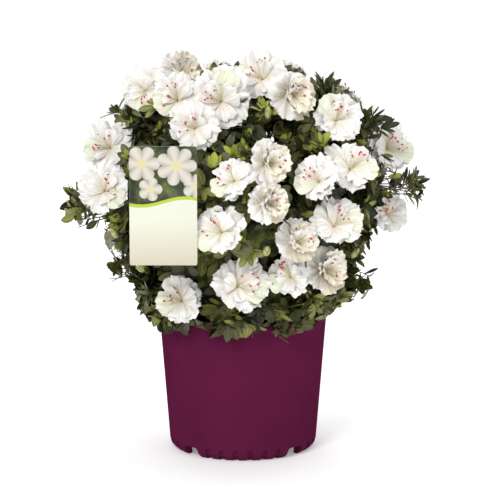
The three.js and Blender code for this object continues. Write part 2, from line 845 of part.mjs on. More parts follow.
// The level twig that passes through the tag's loop, up to its own whorl of leaves.
function tagTwig(mass, start) {
  const run = new THREE.Vector3(tag.twigRun, 0, 0);
  const hook = new THREE.Vector3(tag.middleX, twigDepth, twigHeight);
  const inner = hook.clone().add(run);
  const outer = hook.clone().sub(run);
  const overlap = new THREE.Vector3(4, 0, 0);
  const riser = new THREE.QuadraticBezierCurve3(start, inner.clone().add(run), inner);
  const level = new THREE.LineCurve3(inner.clone().add(overlap), outer);
  const end = new THREE.LineCurve3(outer.clone().add(overlap), outer.clone().sub(run.setLength(12)));
  const even = () => tag.twigRadius;
  return [
    limb(riser, even, 4, 4),
    limb(level, even, 6, 1),
    whorlSolid(mass, framesOf(end, twig.steps), { key: 310, lean: leaf.lean, furthest: 1.3 }),
  ];
}

function buildTag() {
  const round = tag.cornerRadius;
  const [halfWidth, bottom] = [tag.width / 2, -tag.height];
  const outline = new THREE.Shape();
  outline.moveTo(-halfWidth + round, bottom);
  outline.lineTo(halfWidth - round, bottom);
  outline.absarc(halfWidth - round, bottom + round, round, -Math.PI / 2, 0, false);
  outline.lineTo(halfWidth, -round);
  outline.absarc(halfWidth - round, -round, round, 0, Math.PI / 2, false);
  outline.lineTo(-halfWidth + round, 0);
  outline.absarc(-halfWidth + round, -round, round, Math.PI / 2, Math.PI, false);
  outline.lineTo(-halfWidth, bottom + round);
  outline.absarc(-halfWidth + round, bottom + round, round, Math.PI, Math.PI * 1.5, false);
  const card = new THREE.ExtrudeGeometry(outline, {
    depth: tag.thickness,
    bevelEnabled: false,
    curveSegments: 2,
  });
  card.rotateX(Math.PI / 2).translate(tag.middleX, tag.frontY + tag.thickness, tag.top);
  return solidOf(card).add(tagLoop());
}

// A band that comes out of the card's back, over the twig and back into the card.
function tagLoop() {
  const sunk = tag.thickness / 2;
  const reach = tag.loopReach + sunk;
  const band = (inset) => {
    const corner = 4 - inset;
    const [near, far] = [inset, reach - inset];
    const [low, high] = [inset - tag.loopHeight, -inset];
    const path = inset ? new THREE.Path() : new THREE.Shape();
    path.moveTo(near, low);
    path.lineTo(far - corner, low);
    path.absarc(far - corner, low + corner, corner, -Math.PI / 2, 0, false);
    path.lineTo(far, high - corner);
    path.absarc(far - corner, high - corner, corner, 0, Math.PI / 2, false);
    path.lineTo(near, high);
    path.closePath();
    return path;
  };
  const outline = band(0);
  outline.holes.push(band(tag.loopWall));
  const loop = new THREE.ExtrudeGeometry(outline, {
    depth: tag.loopWidth,
    bevelEnabled: false,
    curveSegments: 2,
  });
  loop.rotateX(Math.PI / 2).rotateZ(Math.PI / 2);
  loop.translate(tag.middleX - tag.loopWidth / 2, tag.frontY + sunk, loopTop);
  return solidOf(loop);
}

// ---- Assembly ----

function buildShrub() {
  const group = new THREE.Group();
  const place = (name, solid, hue, roughness) => group.add(meshOf(name, solid, hue, roughness));
  place("pot", buildPot(), hues.pot, 0.45);
  place("potting_soil", buildSoil(), hues.soil, 0.95);
  place("trunk", limb(trunkCurve, trunkRadius, 10, 6), hues.bark, 0.85);
  const gapRound = clearance + 0.25;
  const trunkSpace = limb(trunkCurve, trunkRadius, 10, 6, gapRound);
  for (const [i, main] of mains.entries()) {
    const wood = limb(main.curve, taper(mainThickness), 6, 5).subtract(trunkSpace);
    main.space = limb(main.curve, taper(mainThickness), 6, 5, gapRound);
    place(`main_bough_${i + 1}`, wood, hues.bark, 0.85);
  }
  for (const mass of masses) {
    const wood = limb(mass.bough, taper(boughThickness), 5, 4);
    const clear = mass.fromTip ? wood : wood.subtract(mass.main.space);
    place(`bough_${mass.name}`, clear, hues.bark, 0.85);
  }
  for (const mass of masses) place(`foliage_${mass.name}`, buildMass(mass), hues.foliage, 0.6);
  place("plant_tag", buildTag(), hues.tag, 0.4);
  return group;
}

export default buildShrub();
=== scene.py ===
import math

import bpy
import numpy as np
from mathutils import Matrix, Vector


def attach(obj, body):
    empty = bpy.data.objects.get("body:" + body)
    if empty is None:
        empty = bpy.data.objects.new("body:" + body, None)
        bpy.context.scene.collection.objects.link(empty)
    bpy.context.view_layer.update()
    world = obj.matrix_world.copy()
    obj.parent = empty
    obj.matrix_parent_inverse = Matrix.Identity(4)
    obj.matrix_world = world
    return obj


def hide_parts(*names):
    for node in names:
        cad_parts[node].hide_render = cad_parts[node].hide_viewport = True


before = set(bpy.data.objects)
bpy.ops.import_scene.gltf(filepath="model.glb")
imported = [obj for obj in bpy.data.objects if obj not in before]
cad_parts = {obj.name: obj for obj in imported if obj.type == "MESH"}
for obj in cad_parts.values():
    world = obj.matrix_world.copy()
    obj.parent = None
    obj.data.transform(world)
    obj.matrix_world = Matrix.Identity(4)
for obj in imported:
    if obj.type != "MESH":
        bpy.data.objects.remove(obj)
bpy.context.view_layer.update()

millimetre = 0.001
goldenAngle = 137.508


def chance(a, b, c):
    # the same number from 0 to 1 for the same three keys
    wave = math.sin(a * 12.9898 + b * 78.233 + c * 37.719) * 43758.5453
    return wave - math.floor(wave)


def mix(a, b, share):
    return a + (b - a) * share


def point(x, y, z):
    return np.array([x, y, z], float)


def polar(azimuth, radius, height):
    turn = math.radians(azimuth)
    return point(radius * math.cos(turn), radius * math.sin(turn), height)


def unit(v):
    return v / np.linalg.norm(v)


def angleBetween(a, b):
    return abs((a - b + 540) % 360 - 180)


def onCurve(curve, share):
    a, b, c = curve
    return a * (1 - share) ** 2 + b * 2 * share * (1 - share) + c * share ** 2


def alongCurve(curve, share):
    a, b, c = curve
    return unit((b - a) * (1 - share) + (c - b) * share)


def acrossFrom(direction):
    # two directions square to a direction
    helper = point(0, 0, 1) if abs(direction[2]) < 0.9 else point(1, 0, 0)
    right = unit(np.cross(helper, direction))
    return right, np.cross(direction, right)


def around(direction, degrees):
    right, other = acrossFrom(direction)
    turn = math.radians(degrees)
    return right * math.cos(turn) + other * math.sin(turn)


# how the shrub grows, by the same rule as its solids, in millimetres
trunkShape = {"foot": 201.3, "top": 274, "fork": 252, "neck": 10.5, "flare": 7, "swelling": 1.5, "lean": (3, -2)}
mainShape = {"count": 5, "first": 234, "tipRadius": 58, "tipHeight": 446, "bendRadius": 46, "bendHeight": 292,
             "sway": 26, "lift": 20, "thick": (5.2, 3.4)}
boughShape = {"thick": (2.9, 2.3), "firstFork": 0.42, "share": 0.62}
massRings = [("top", 4, 45, 98, 548), ("middle", 7, 270, 190, 432), ("lower", 6, 270, 142, 286)]
canopy = {
    "middle": 400,
    "depthShare": 0.93,
    "rise": [-90, -55, -40, -25, -12, 0, 12, 30, 60, 90],
    "reach": [236, 258, 236, 228, 240, 258, 260, 248, 229, 208],
}
# azimuth, rise, width, form, how much it faces right and up, and the side its green petal is on
frontBlooms = [
    (201, 48, 70, "open", -0.4, 0.5, 270), (172, 64, 62, "cupped", 0.5, 0.55, 0),
    (228, 48, 74, "open", 0, 0.56, 205), (248, 34, 70, "open", 0.05, -0.2, None),
    (260, 52, 88, "open", 0.06, 0.2, 75), (195, 23, 72, "open", -0.36, 0.43, 195),
    (208, 6, 76, "open", -0.27, 0.5, 325), (292, 68, 76, "open", -0.25, 0.72, 180),
    (302, 48, 70, "cupped", 0.7, -0.35, 0), (321, 36, 78, "open", 0.7, 0.45, 130),
    (1, 18, 74, "open", 0.8, 0.25, 340), (297, 14, 66, "open", -0.52, 0.62, 205),
    (315, 16, 78, "open", 0.52, 0.64, 345), (262, 16, 64, "open", -0.65, 0.38, 215),
    (279, 20, 64, "cupped", 0.8, 0.1, 0), (281, 2, 62, "cupped", 0.8, 0, 0),
    (262, -5, 74, "open", -0.52, 0.14, 210), (306, -4, 78, "open", 0.2, 0.7, 5),
    (291, -14, 62, "cupped", 0.66, 0.4, 0), (268, -31, 82, "open", 0.55, 0.4, 335),
    (290, -31, 66, "open", -0.68, 0.26, 210), (311, -29, 68, "cupped", 0.82, 0.05, 0),
    (236, -40, 72, "open", -0.29, 0.29, 190), (350, -6, 60, "open", 0.75, 0.2, None),
]
backBlooms = {"spread": 46, "across": 70, "swing": 8, "nearest": 72, "frontEdge": -8, "lowestRise": -46,
              "cupped": 0.25}
bloomShape = {"share": 0.93, "neck": -0.5, "lip": 0.3, "dish": 0.92, "narrowest": 0.25, "clearBefore": 26}
longShoots = [(180, 279, 8, 384), (0, 286, 10, 410), (270, 258, 70, 392), (90, 258, 30, 410)]
stemShape = {"share": 0.66, "thick": (3, 2.4)}
twigShape = {"thick": (1.3, 1.0), "arrival": 0.42, "wanted": 0.8, "swing": 0.34}
whorlSpread = {"count": 152, "deepest": 0.7, "outermost": 0.87, "lowestRise": -56, "clear": 6, "flattening": 0.5,
               "upturn": 0.3}
tagShape = {"width": 100, "height": 178, "thick": 1, "middleX": -117, "frontY": -226, "top": 510, "loopWidth": 8,
            "loopReach": 11, "loopHeight": 15, "loopDrop": 4, "twig": 1.6, "round": 3}


def outlineAt(rise):
    return np.interp(rise, canopy["rise"], canopy["reach"])


def reachOf(points):
    # how far out points lie, where 1 is the canopy's edge
    x, y, z = points[..., 0], points[..., 1] / canopy["depthShare"], points[..., 2] - canopy["middle"]
    flat = np.hypot(x, y)
    return np.hypot(flat, z) / outlineAt(np.degrees(np.arctan2(z, flat)))


def canopyPoint(azimuth, rise, share):
    away = outlineAt(rise) * share
    slope = math.radians(rise)
    p = polar(azimuth, away * math.cos(slope), canopy["middle"] + away * math.sin(slope))
    p[1] *= canopy["depthShare"]
    return p


def outwardAt(p):
    return unit(point(p[0], p[1] / canopy["depthShare"], p[2] - canopy["middle"]))


def evenRise(i, count):
    # golden-angle places are spread evenly over a ball
    return math.degrees(math.asin(1 - 2 * (i + 0.5) / count))


trunkTop = point(*trunkShape["lean"], trunkShape["top"])
trunkMiddle = point(0, 0, mix(trunkShape["foot"], trunkShape["top"], 0.5))
trunkCurve = (point(0, 0, trunkShape["foot"]), trunkMiddle, trunkTop)
forkPlace = point(trunkTop[0] * 0.7, trunkTop[1] * 0.7, trunkShape["fork"])

mains = []
for i in range(mainShape["count"]):
    azimuth = mainShape["first"] + i * 360 / mainShape["count"]
    sway = (chance(i, 1, 1) - 0.5) * mainShape["sway"]
    lift = (chance(i, 2, 1) - 0.5) * mainShape["lift"]
    bend = polar(azimuth, mainShape["bendRadius"], mainShape["bendHeight"])
    tip = polar(azimuth + sway, mainShape["tipRadius"], mainShape["tipHeight"] + lift)
    mains.append({"azimuth": azimuth, "curve": (forkPlace, bend, tip), "masses": []})

masses = []
for ringIndex, (ringName, count, first, radius, height) in enumerate(massRings):
    for i in range(count):
        azimuth = first + i * 360 / count
        masses.append({"name": f"{ringName}_{i + 1}", "key": ringIndex * 10 + i + 1, "azimuth": azimuth,
                       "middle": polar(azimuth, radius, height)})
massMiddles = np.array([mass["middle"] for mass in masses])


def heartOf(mass):
    return point(0, 0, mix(trunkShape["top"], mass["middle"][2], 0.75))


def stemOf(mass):
    start = mass["bough"][2]
    outward = unit(mass["middle"] - heartOf(mass))
    length = 20
    while reachOf(start + outward * length) < stemShape["share"]:
        length += 2
    return (start, start + alongCurve(mass["bough"], 1) * length * 0.45, start + outward * length)


def ownerOf(p):
    return int(np.argmin(np.linalg.norm(massMiddles - p, axis=1)))


for mass in masses:
    # each mass grows from the main bough nearest to its side
    best = mains[0]
    for main in mains:
        if angleBetween(main["azimuth"], mass["azimuth"]) < angleBetween(best["azimuth"], mass["azimuth"]) - 0.01:
            best = main
    best["masses"].append(mass)

for main in mains:
    main["masses"].sort(key=lambda mass: (mass["middle"][2], mass["key"]))
    last = len(main["masses"]) - 1
    for i, mass in enumerate(main["masses"]):
        share = mix(boughShape["firstFork"], 1, i / last)
        start = onCurve(main["curve"], share)
        end = mix(heartOf(mass), mass["middle"], boughShape["share"])
        run = np.linalg.norm(end - start)
        bend = start + alongCurve(main["curve"], share) * run * (0.4 if i == last else 0.25)
        if i < last:
            bend = mix(bend, mix(start, end, 0.5), 0.3)
        mass["bough"] = (start, bend, end)
        mass["stem"] = stemOf(mass)

blooms = []


def addBloom(place, across, form, facing, greenSide):
    blooms.append({"place": place, "facing": facing, "radius": across / 2, "form": form, "mass": ownerOf(place),
                   "key": len(blooms) + 1, "green": greenSide})


for azimuth, rise, across, form, right, upward, greenSide in frontBlooms:
    facing = point(right, -math.sqrt(1 - right ** 2 - upward ** 2), upward)
    addBloom(canopyPoint(azimuth, rise, bloomShape["share"]), across, form, facing, greenSide)
for i in range(backBlooms["spread"]):
    rise = evenRise(i, backBlooms["spread"])
    place = canopyPoint(i * goldenAngle, rise, bloomShape["share"])
    crowded = any(np.linalg.norm(other["place"] - place) < backBlooms["nearest"] for other in blooms)
    if place[1] < backBlooms["frontEdge"] or rise < backBlooms["lowestRise"] or crowded:
        continue
    across = backBlooms["across"] + (chance(i, 3, 3) - 0.5) * 2 * backBlooms["swing"]
    cupped = chance(i, 4, 3) < backBlooms["cupped"]
    facing = outwardAt(place) * 0.8 + point(0, 0, 0.22)
    if cupped:
        facing = facing * 0.75 + unit(point(-place[1], place[0], 0)) * 0.9
    addBloom(place, across, "cupped" if cupped else "open", unit(facing), 360 * chance(i, 6, 3))
print("rule:", len(masses), "masses,", len(blooms), "blooms")

# the petals are wider than the solid dish and turn a little more to the front, and some blooms lean aside (x, z)
petalValues = {
    "across": 20,
    "along": 10,
    "outer": 6,
    "inner": 3,
    "larger": {"open": 1.14, "cupped": 1.26},
    "neck": -0.24,
    "turnedToFront": 0.5,
    "frontEdge": 20,
    "leaning": {1: (-13, 8), 2: (-8, 2), 5: (-9, -8), 6: (4, -9), 9: (-8, 10), 12: (7, -5), 14: (18, -9),
                16: (-13, 16), 19: (0, 13), 21: (8, 12), 22: (-2, 10), 32: (24, 10)},
    "curl": (0, 0.4),
    "fanAside": 50,
    "stamens": 9,
    "seed": 23,
}
for bloom in blooms:
    turned = petalValues["turnedToFront"]
    inFront = bloom["place"][1] < petalValues["frontEdge"]
    toFront = point(0, -1, 0.25) if inFront else outwardAt(bloom["place"])
    aside, upward = petalValues["leaning"].get(bloom["key"], (0, 0))
    bloom["look"] = unit(bloom["facing"] * (1 - turned) + toFront * turned)
    bloom["heart"] = bloom["place"] + point(aside, 0, upward)
    bloom["petal"] = bloom["radius"] * petalValues["larger"][bloom["form"]]


def insideBlooms(points, margin):
    # the dish narrows towards its neck, and nothing grows close before it
    inside = np.zeros(len(points), bool)
    for bloom in blooms:
        size = bloom["petal"]
        neck = bloomShape["neck"] * size
        lip = bloomShape["lip"] * size
        offset = points - bloom["heart"]
        along = offset @ bloom["look"]
        across = np.sqrt(np.maximum(0, (offset ** 2).sum(1) - along ** 2))
        depth = np.clip((along - neck) / (lip - neck), bloomShape["narrowest"], 1)
        within = across < (bloomShape["dish"] * size + margin) * depth
        inside |= within & (along > neck - margin) & (along < lip + bloomShape["clearBefore"])
    return inside


def overPot(points, margin=2.5):
    away = np.hypot(points[:, 0], points[:, 1])
    return (away < potValues["rim"] + margin) & (points[:, 2] < potValues["height"] + margin)


def nearTag(points):
    t = tagShape
    x = np.abs(points[:, 0] - t["middleX"])
    low = points[:, 2] > t["top"] - t["height"] - 3
    front = points[:, 1] < t["frontY"] + 4
    return (x < t["width"] / 2 + 2) & low & (points[:, 2] < t["top"] + 4) & front


def deselect():
    if bpy.context.object and bpy.context.object.mode != "OBJECT":
        bpy.ops.object.mode_set(mode="OBJECT")
    bpy.ops.object.select_all(action="DESELECT")


def atOrigin(piece, name):
    piece.name = name
    piece.data.name = name
    bpy.context.view_layer.objects.active = piece
    piece.select_set(True)
    bpy.ops.object.transform_apply(location=True, rotation=True, scale=True)
    return piece


def pickFaces(piece, test):
    # in edit mode: selects the faces whose middle and normal pass the test
    bpy.ops.object.mode_set(mode="OBJECT")
    for item in (*piece.data.vertices, *piece.data.edges):
        item.select = False
    for face in piece.data.polygons:
        face.select = bool(test(face.center, face.normal))
    bpy.ops.object.mode_set(mode="EDIT")


def pickVertices(piece, test):
    bpy.ops.object.mode_set(mode="EDIT")
    bpy.ops.mesh.select_mode(type="VERT")
    bpy.ops.mesh.select_all(action="DESELECT")
    bpy.ops.object.mode_set(mode="OBJECT")
    for vertex in piece.data.vertices:
        vertex.select = bool(test(vertex.co))
    bpy.ops.object.mode_set(mode="EDIT")


def roundedBox(name, size, middle, chooses, offset, segments):
    # a box in millimetres with its chosen edges rounded, left in edit mode
    deselect()
    bpy.ops.mesh.primitive_cube_add(size=1)
    box = bpy.context.object
    box.scale = [value * millimetre for value in size]
    box.location = [value * millimetre for value in middle]
    atOrigin(box, name)
    bpy.ops.object.mode_set(mode="EDIT")
    bpy.ops.mesh.select_mode(type="EDGE")
    bpy.ops.mesh.select_all(action="DESELECT")
    bpy.ops.object.mode_set(mode="OBJECT")
    for edge in box.data.edges:
        edge.select = chooses(*(box.data.vertices[i].co for i in edge.vertices))
    bpy.ops.object.mode_set(mode="EDIT")
    bpy.ops.mesh.bevel(offset=offset * millimetre, segments=segments)
    return box


def turnedPiece(name, profile, sides):
    # a disc of the first radius, drawn through the profile's rings by extrude and resize
    deselect()
    radius, height = profile[0]
    bpy.ops.mesh.primitive_circle_add(vertices=sides, radius=radius * millimetre, fill_type="NGON",
                                      location=(0, 0, height * millimetre))
    piece = atOrigin(bpy.context.object, name)
    bpy.ops.object.mode_set(mode="EDIT")
    bpy.ops.mesh.select_all(action="SELECT")
    for (wasRadius, wasHeight), (radius, height) in zip(profile, profile[1:]):
        raiseFaces(height - wasHeight, radius / wasRadius, height)
    weld(piece)
    return piece


def raiseFaces(rise, size, middle):
    bpy.ops.mesh.extrude_region_move(TRANSFORM_OT_translate={"value": (0, 0, rise * millimetre)})
    bpy.ops.transform.resize(value=(size, size, 1), center_override=(0, 0, middle * millimetre))


def weld(piece, distance=1e-6):
    # doubles merged, and every face turned outwards
    deselect()
    bpy.context.view_layer.objects.active = piece
    bpy.ops.object.mode_set(mode="EDIT")
    bpy.ops.mesh.select_all(action="SELECT")
    bpy.ops.mesh.remove_doubles(threshold=distance)
    bpy.ops.mesh.normals_make_consistent(inside=False)
    bpy.ops.object.mode_set(mode="OBJECT")


def soften(piece, width, angle):
    bevel = piece.modifiers.new("soften", "BEVEL")
    bevel.width = width * millimetre
    bevel.segments = 2
    bevel.limit_method = "ANGLE"
    bevel.angle_limit = math.radians(angle)
    applyAll(piece)


def applyAll(piece):
    bpy.context.view_layer.objects.active = piece
    for modifier in list(piece.modifiers):
        bpy.ops.object.modifier_apply(modifier=modifier.name)


def smooth(piece, angle):
    deselect()
    bpy.context.view_layer.objects.active = piece
    piece.select_set(True)
    bpy.ops.object.shade_smooth_by_angle(angle=math.radians(angle))
    piece.select_set(False)


# a heap gathers the faces of many small things for one mesh
def newHeap():
    return {"points": [], "faces": [], "uvs": [], "tones": [], "slots": [], "count": 0}


def pour(heap, points, faces, uvs, tone, slot=0):
    # points (copies, corners, 3) share one list of faces and of uv places
    copies, corners = points.shape[:2]
    tones = np.broadcast_to(np.asarray(tone, float).reshape(-1, 1), (copies, corners))
    heap["points"].append(points.reshape(-1, 3))
    heap["uvs"].append(np.tile(uvs, (copies, 1)))
    heap["tones"].append(tones.reshape(-1))
    base = heap["count"] + np.arange(copies) * corners
    for size in (3, 4):
        these = np.array([face for face in faces if len(face) == size], int)
        if len(these):
            heap["faces"].append((these[None] + base[:, None, None]).reshape(-1, size))
            heap["slots"].append(np.full(copies * len(these), slot))
    heap["count"] += copies * corners


def meshFrom(heap, name, finishes):
    faces = [face for group in heap["faces"] for face in group.tolist()]
    corners = np.concatenate([group.reshape(-1) for group in heap["faces"]])
    mesh = bpy.data.meshes.new(name)
    mesh.from_pydata((np.concatenate(heap["points"]) * millimetre).tolist(), [], faces)
    layer = mesh.uv_layers.new(name="along")
    layer.data.foreach_set("uv", np.concatenate(heap["uvs"])[corners].reshape(-1))
    tone = mesh.attributes.new("tone", "FLOAT", "POINT")
    tone.data.foreach_set("value", np.concatenate(heap["tones"]).astype(np.float32))
    mesh.polygons.foreach_set("material_index", np.concatenate(heap["slots"]).astype(np.int32))
    mesh.polygons.foreach_set("use_smooth", np.ones(len(faces), bool))
    for finish in finishes:
        mesh.materials.append(finish)
    mesh.update()
    piece = bpy.data.objects.new(name, mesh)
    bpy.context.collection.objects.link(piece)
    print(f"{name}: {sum(len(face) - 2 for face in faces)} triangles")
    return piece


def patternOf(piece):
    # the points and faces of a modelled pattern, to be copied
    points = np.array([vertex.co for vertex in piece.data.vertices])
    faces = [list(face.vertices) for face in piece.data.polygons]
    bpy.data.objects.remove(piece)
    return points, faces


def tubes(heap, paths, radii, sides, tone):
    # paths (copies, steps, 3) with a radius for each step
    paths = np.asarray(paths, float)
    copies, steps = paths.shape[:2]
    tangents = np.gradient(paths, axis=1)
    tangents /= np.linalg.norm(tangents, axis=2, keepdims=True) + 1e-9
    helper = np.where(np.abs(tangents[:, :1, 2:3]) < 0.9, [0, 0, 1.0], [1.0, 0, 0])
    right = np.cross(np.broadcast_to(helper, tangents.shape), tangents)
    right /= np.linalg.norm(right, axis=2, keepdims=True) + 1e-9
    other = np.cross(tangents, right)
    radii = np.broadcast_to(np.asarray(radii, float), (copies, steps))
    turn = np.arange(sides) * 2 * math.pi / sides
    ring = right[:, :, None] * np.cos(turn)[:, None] + other[:, :, None] * np.sin(turn)[:, None]
    skin = (paths[:, :, None] + ring * radii[:, :, None, None]).reshape(copies, steps * sides, 3)
    points = np.concatenate([skin, paths[:, :1], paths[:, -1:]], axis=1)
    faces = []
    for step in range(steps - 1):
        for side in range(sides):
            a, b = step * sides + side, step * sides + (side + 1) % sides
            faces.append([a, b, b + sides, a + sides])
    top = (steps - 1) * sides
    for side in range(sides):
        following = (side + 1) % sides
        faces.append([steps * sides, following, side])
        faces.append([steps * sides + 1, top + side, top + following])
    uvs = [[side / sides, step / (steps - 1)] for step in range(steps) for side in range(sides)]
    pour(heap, points, faces, np.array(uvs + [[0.5, 0], [0.5, 1]]), tone)


def plug(tree, value, socket):
    if isinstance(value, bpy.types.NodeSocket):
        tree.links.new(value, socket)
    else:
        socket.default_value = value


def node(tree, kind, inputs=None, **settings):
    made = tree.nodes.new("ShaderNode" + kind)
    for name, value in settings.items():
        setattr(made, name, value)
    for name, value in (inputs or {}).items():
        plug(tree, value, made.inputs[name])
    return made


def mixed(tree, factor, first, second):
    return node(tree, "Mix", {0: factor, 6: first, 7: second}, data_type="RGBA").outputs[2]


def maths(tree, operation, *values, clamp=False):
    return node(tree, "Math", dict(enumerate(values)), operation=operation, use_clamp=clamp).outputs[0]


def times(tree, a, b):
    return maths(tree, "MULTIPLY", a, b)


def minus(tree, a, b):
    return maths(tree, "SUBTRACT", a, b)


def ranged(tree, value, low, high, start=0.0, end=1.0):
    values = {"Value": value, "From Min": low, "From Max": high, "To Min": start, "To Max": end}
    return node(tree, "MapRange", values).outputs[0]


def noise(tree, vector, scale, detail):
    return node(tree, "TexNoise", {"Vector": vector, "Scale": scale, "Detail": detail}).outputs["Fac"]


def axes(tree, vector):
    return node(tree, "SeparateXYZ", {"Vector": vector}).outputs


def objectPlace(tree):
    return node(tree, "TexCoord").outputs["Object"]


def ownTone(tree):
    return node(tree, "Attribute", attribute_name="tone").outputs["Fac"]


def group(name, inputs, outputs):
    # each value's or output's size says whether its socket is a float, a vector or a colour
    kinds = {1: "NodeSocketFloat", 3: "NodeSocketVector", 4: "NodeSocketColor"}
    tree = bpy.data.node_groups.new(name, "ShaderNodeTree")
    for label, value in inputs.items():
        socket = tree.interface.new_socket(label, in_out="INPUT", socket_type=kinds[np.size(value)])
        socket.default_value = value
    for label, size in outputs.items():
        tree.interface.new_socket(label, in_out="OUTPUT", socket_type=kinds[size])
    return tree, tree.nodes.new("NodeGroupInput").outputs, tree.nodes.new("NodeGroupOutput").inputs


def give(tree, out, values):
    for label, value in values.items():
        tree.links.new(value, out[label])
    return tree


def makeMottle():
    # soft patches of a second colour, and a fine relief
    inputs = {"Colour": (1, 1, 1, 1), "Patches": (0, 0, 0, 1), "Scale": 30.0, "Amount": 0.5, "Fine": 400.0}
    tree, source, out = group("mottle", inputs, {"Colour": 4, "Mask": 1, "Height": 1})
    place = objectPlace(tree)
    spread = ranged(tree, noise(tree, place, source["Scale"], 4.0), 0.35, 0.7)
    mask = maths(tree, "MULTIPLY", spread, source["Amount"], clamp=True)
    tinted = mixed(tree, mask, source["Colour"], source["Patches"])
    return give(tree, out, {"Colour": tinted, "Mask": mask, "Height": noise(tree, place, source["Fine"], 2.0)})


def makeVeins():
    # a midrib, side veins and a pale edge that follow the blade's own uv map
    inputs = {"Midrib": 0.06, "Side Veins": 9.0}
    tree, source, out = group("leafVeins", inputs, {"Midrib": 1, "Side Veins": 1, "Height": 1})
    parts = axes(tree, node(tree, "UVMap", uv_map="along").outputs["UV"])
    off = maths(tree, "ABSOLUTE", minus(tree, parts["X"], 0.5))
    midrib = ranged(tree, off, 0.0, source["Midrib"], 1.0, 0.0)
    slanted = minus(tree, parts["Y"], times(tree, off, 0.5))
    wave = maths(tree, "SINE", times(tree, slanted, times(tree, source["Side Veins"], 6.283)))
    height = minus(tree, times(tree, wave, 0.25), midrib)
    veins = maths(tree, "MAXIMUM", ranged(tree, wave, 0.55, 1.0), ranged(tree, off, 0.42, 0.5))
    return give(tree, out, {"Side Veins": veins, "Midrib": midrib, "Height": height})


def makePleats():
    # fine streaks from the throat to the edge of a petal, a mask both for painted shade in its folds and for its
    # relief, and small marks near the throat
    inputs = {"Lines": 13.0, "Marks": 0.5}
    tree, source, out = group("petalPleats", inputs, {"Line": 1, "Mark": 1, "Throat": 1, "Height": 1})
    parts = axes(tree, node(tree, "UVMap", uv_map="along").outputs["UV"])
    tone = ownTone(tree)

    def stretched(across, along, shift):
        # the petal's tone shifts the pattern, so that no two are alike
        values = {"X": times(tree, parts["X"], across), "Y": times(tree, parts["Y"], along),
                  "Z": times(tree, tone, shift)}
        return node(tree, "CombineXYZ", values).outputs[0]

    streak = noise(tree, stretched(source["Lines"], 1.4, 37.0), 1.0, 3.0)
    dots = node(tree, "TexVoronoi", {"Vector": stretched(9.0, 13.0, 53.0), "Scale": 1.0}).outputs["Distance"]
    small = ranged(tree, dots, 0.12, 0.2, 1.0, 0.0)
    band = ranged(tree, maths(tree, "ABSOLUTE", minus(tree, parts["Y"], 0.42)), 0.1, 0.24, 1.0, 0.0)
    return give(tree, out, {
        "Line": ranged(tree, streak, 0.42, 0.7),
        "Mark": times(tree, times(tree, small, band), source["Marks"]),
        "Throat": ranged(tree, parts["Y"], 0.12, 0.62, 1.0, 0.0),
        "Height": streak,
    })


mottle = makeMottle()
leafVeins = makeVeins()
petalPleats = makePleats()


def colour(*screen):
    # screen values 0-255 to the linear ones that the shader takes
    shares = [c / 255 for c in screen]
    return (*(c / 12.92 if c <= 0.04045 else ((c + 0.055) / 1.055) ** 2.4 for c in shares), 1)


def material(name, values):
    made = bpy.data.materials.new(name)
    made.use_nodes = True
    shader = made.node_tree.nodes["Principled BSDF"].inputs
    for label, value in values.items():
        shader[label].default_value = value
    return made, made.node_tree, shader


def bump(tree, shader, height, strength, distance):
    made = node(tree, "Bump", {"Height": height, "Strength": strength, "Distance": distance})
    tree.links.new(made.outputs[0], shader["Normal"])


def mottled(tree, base, patches, scale, amount, fine):
    values = {"Colour": base, "Patches": patches, "Scale": scale, "Amount": amount, "Fine": fine}
    return node(tree, "Group", values, node_tree=mottle).outputs


def mottledFinish(name, base, patches, scale, amount, fine, strength, distance, roughness):
    made, tree, shader = material(name, {"Roughness": roughness})
    patch = mottled(tree, colour(*base), colour(*patches), scale, amount, fine)
    tree.links.new(patch["Colour"], shader["Base Color"])
    bump(tree, shader, patch["Height"], strength, distance)
    return made


def leafFinish(name, dark, light, rib, roughness):
    made, tree, shader = material(name, {"Roughness": roughness, "Specular IOR Level": 0.42})
    blade = mixed(tree, ownTone(tree), colour(*dark), colour(*light))
    patch = mottled(tree, blade, colour(*dark), 90.0, 0.5, 500.0)
    veins = node(tree, "Group", node_tree=leafVeins).outputs
    drawn = maths(tree, "MAXIMUM", times(tree, veins["Midrib"], 0.8), times(tree, veins["Side Veins"], 0.35))
    tree.links.new(mixed(tree, drawn, patch["Colour"], colour(*rib)), shader["Base Color"])
    bump(tree, shader, veins["Height"], 0.5, 0.0006)
    return made


def petalFinish(name, base, fold, throat, paintedFoldShare, marks):
    made, tree, shader = material(name, {"Roughness": 0.6, "Specular IOR Level": 0.25, "Sheen Weight": 0.15})
    pleats = node(tree, "Group", {"Marks": marks}, node_tree=petalPleats).outputs
    # grey streaks along the pleats: painted shade of the petal's folds
    paintedFolds = mixed(tree, times(tree, pleats["Line"], paintedFoldShare), colour(*base), colour(*fold))
    glow = mixed(tree, times(tree, pleats["Throat"], 0.75), paintedFolds, colour(*throat))
    tree.links.new(mixed(tree, pleats["Mark"], glow, colour(150, 118, 70)), shader["Base Color"])
    bump(tree, shader, pleats["Height"], 0.6, 0.0016)
    return made


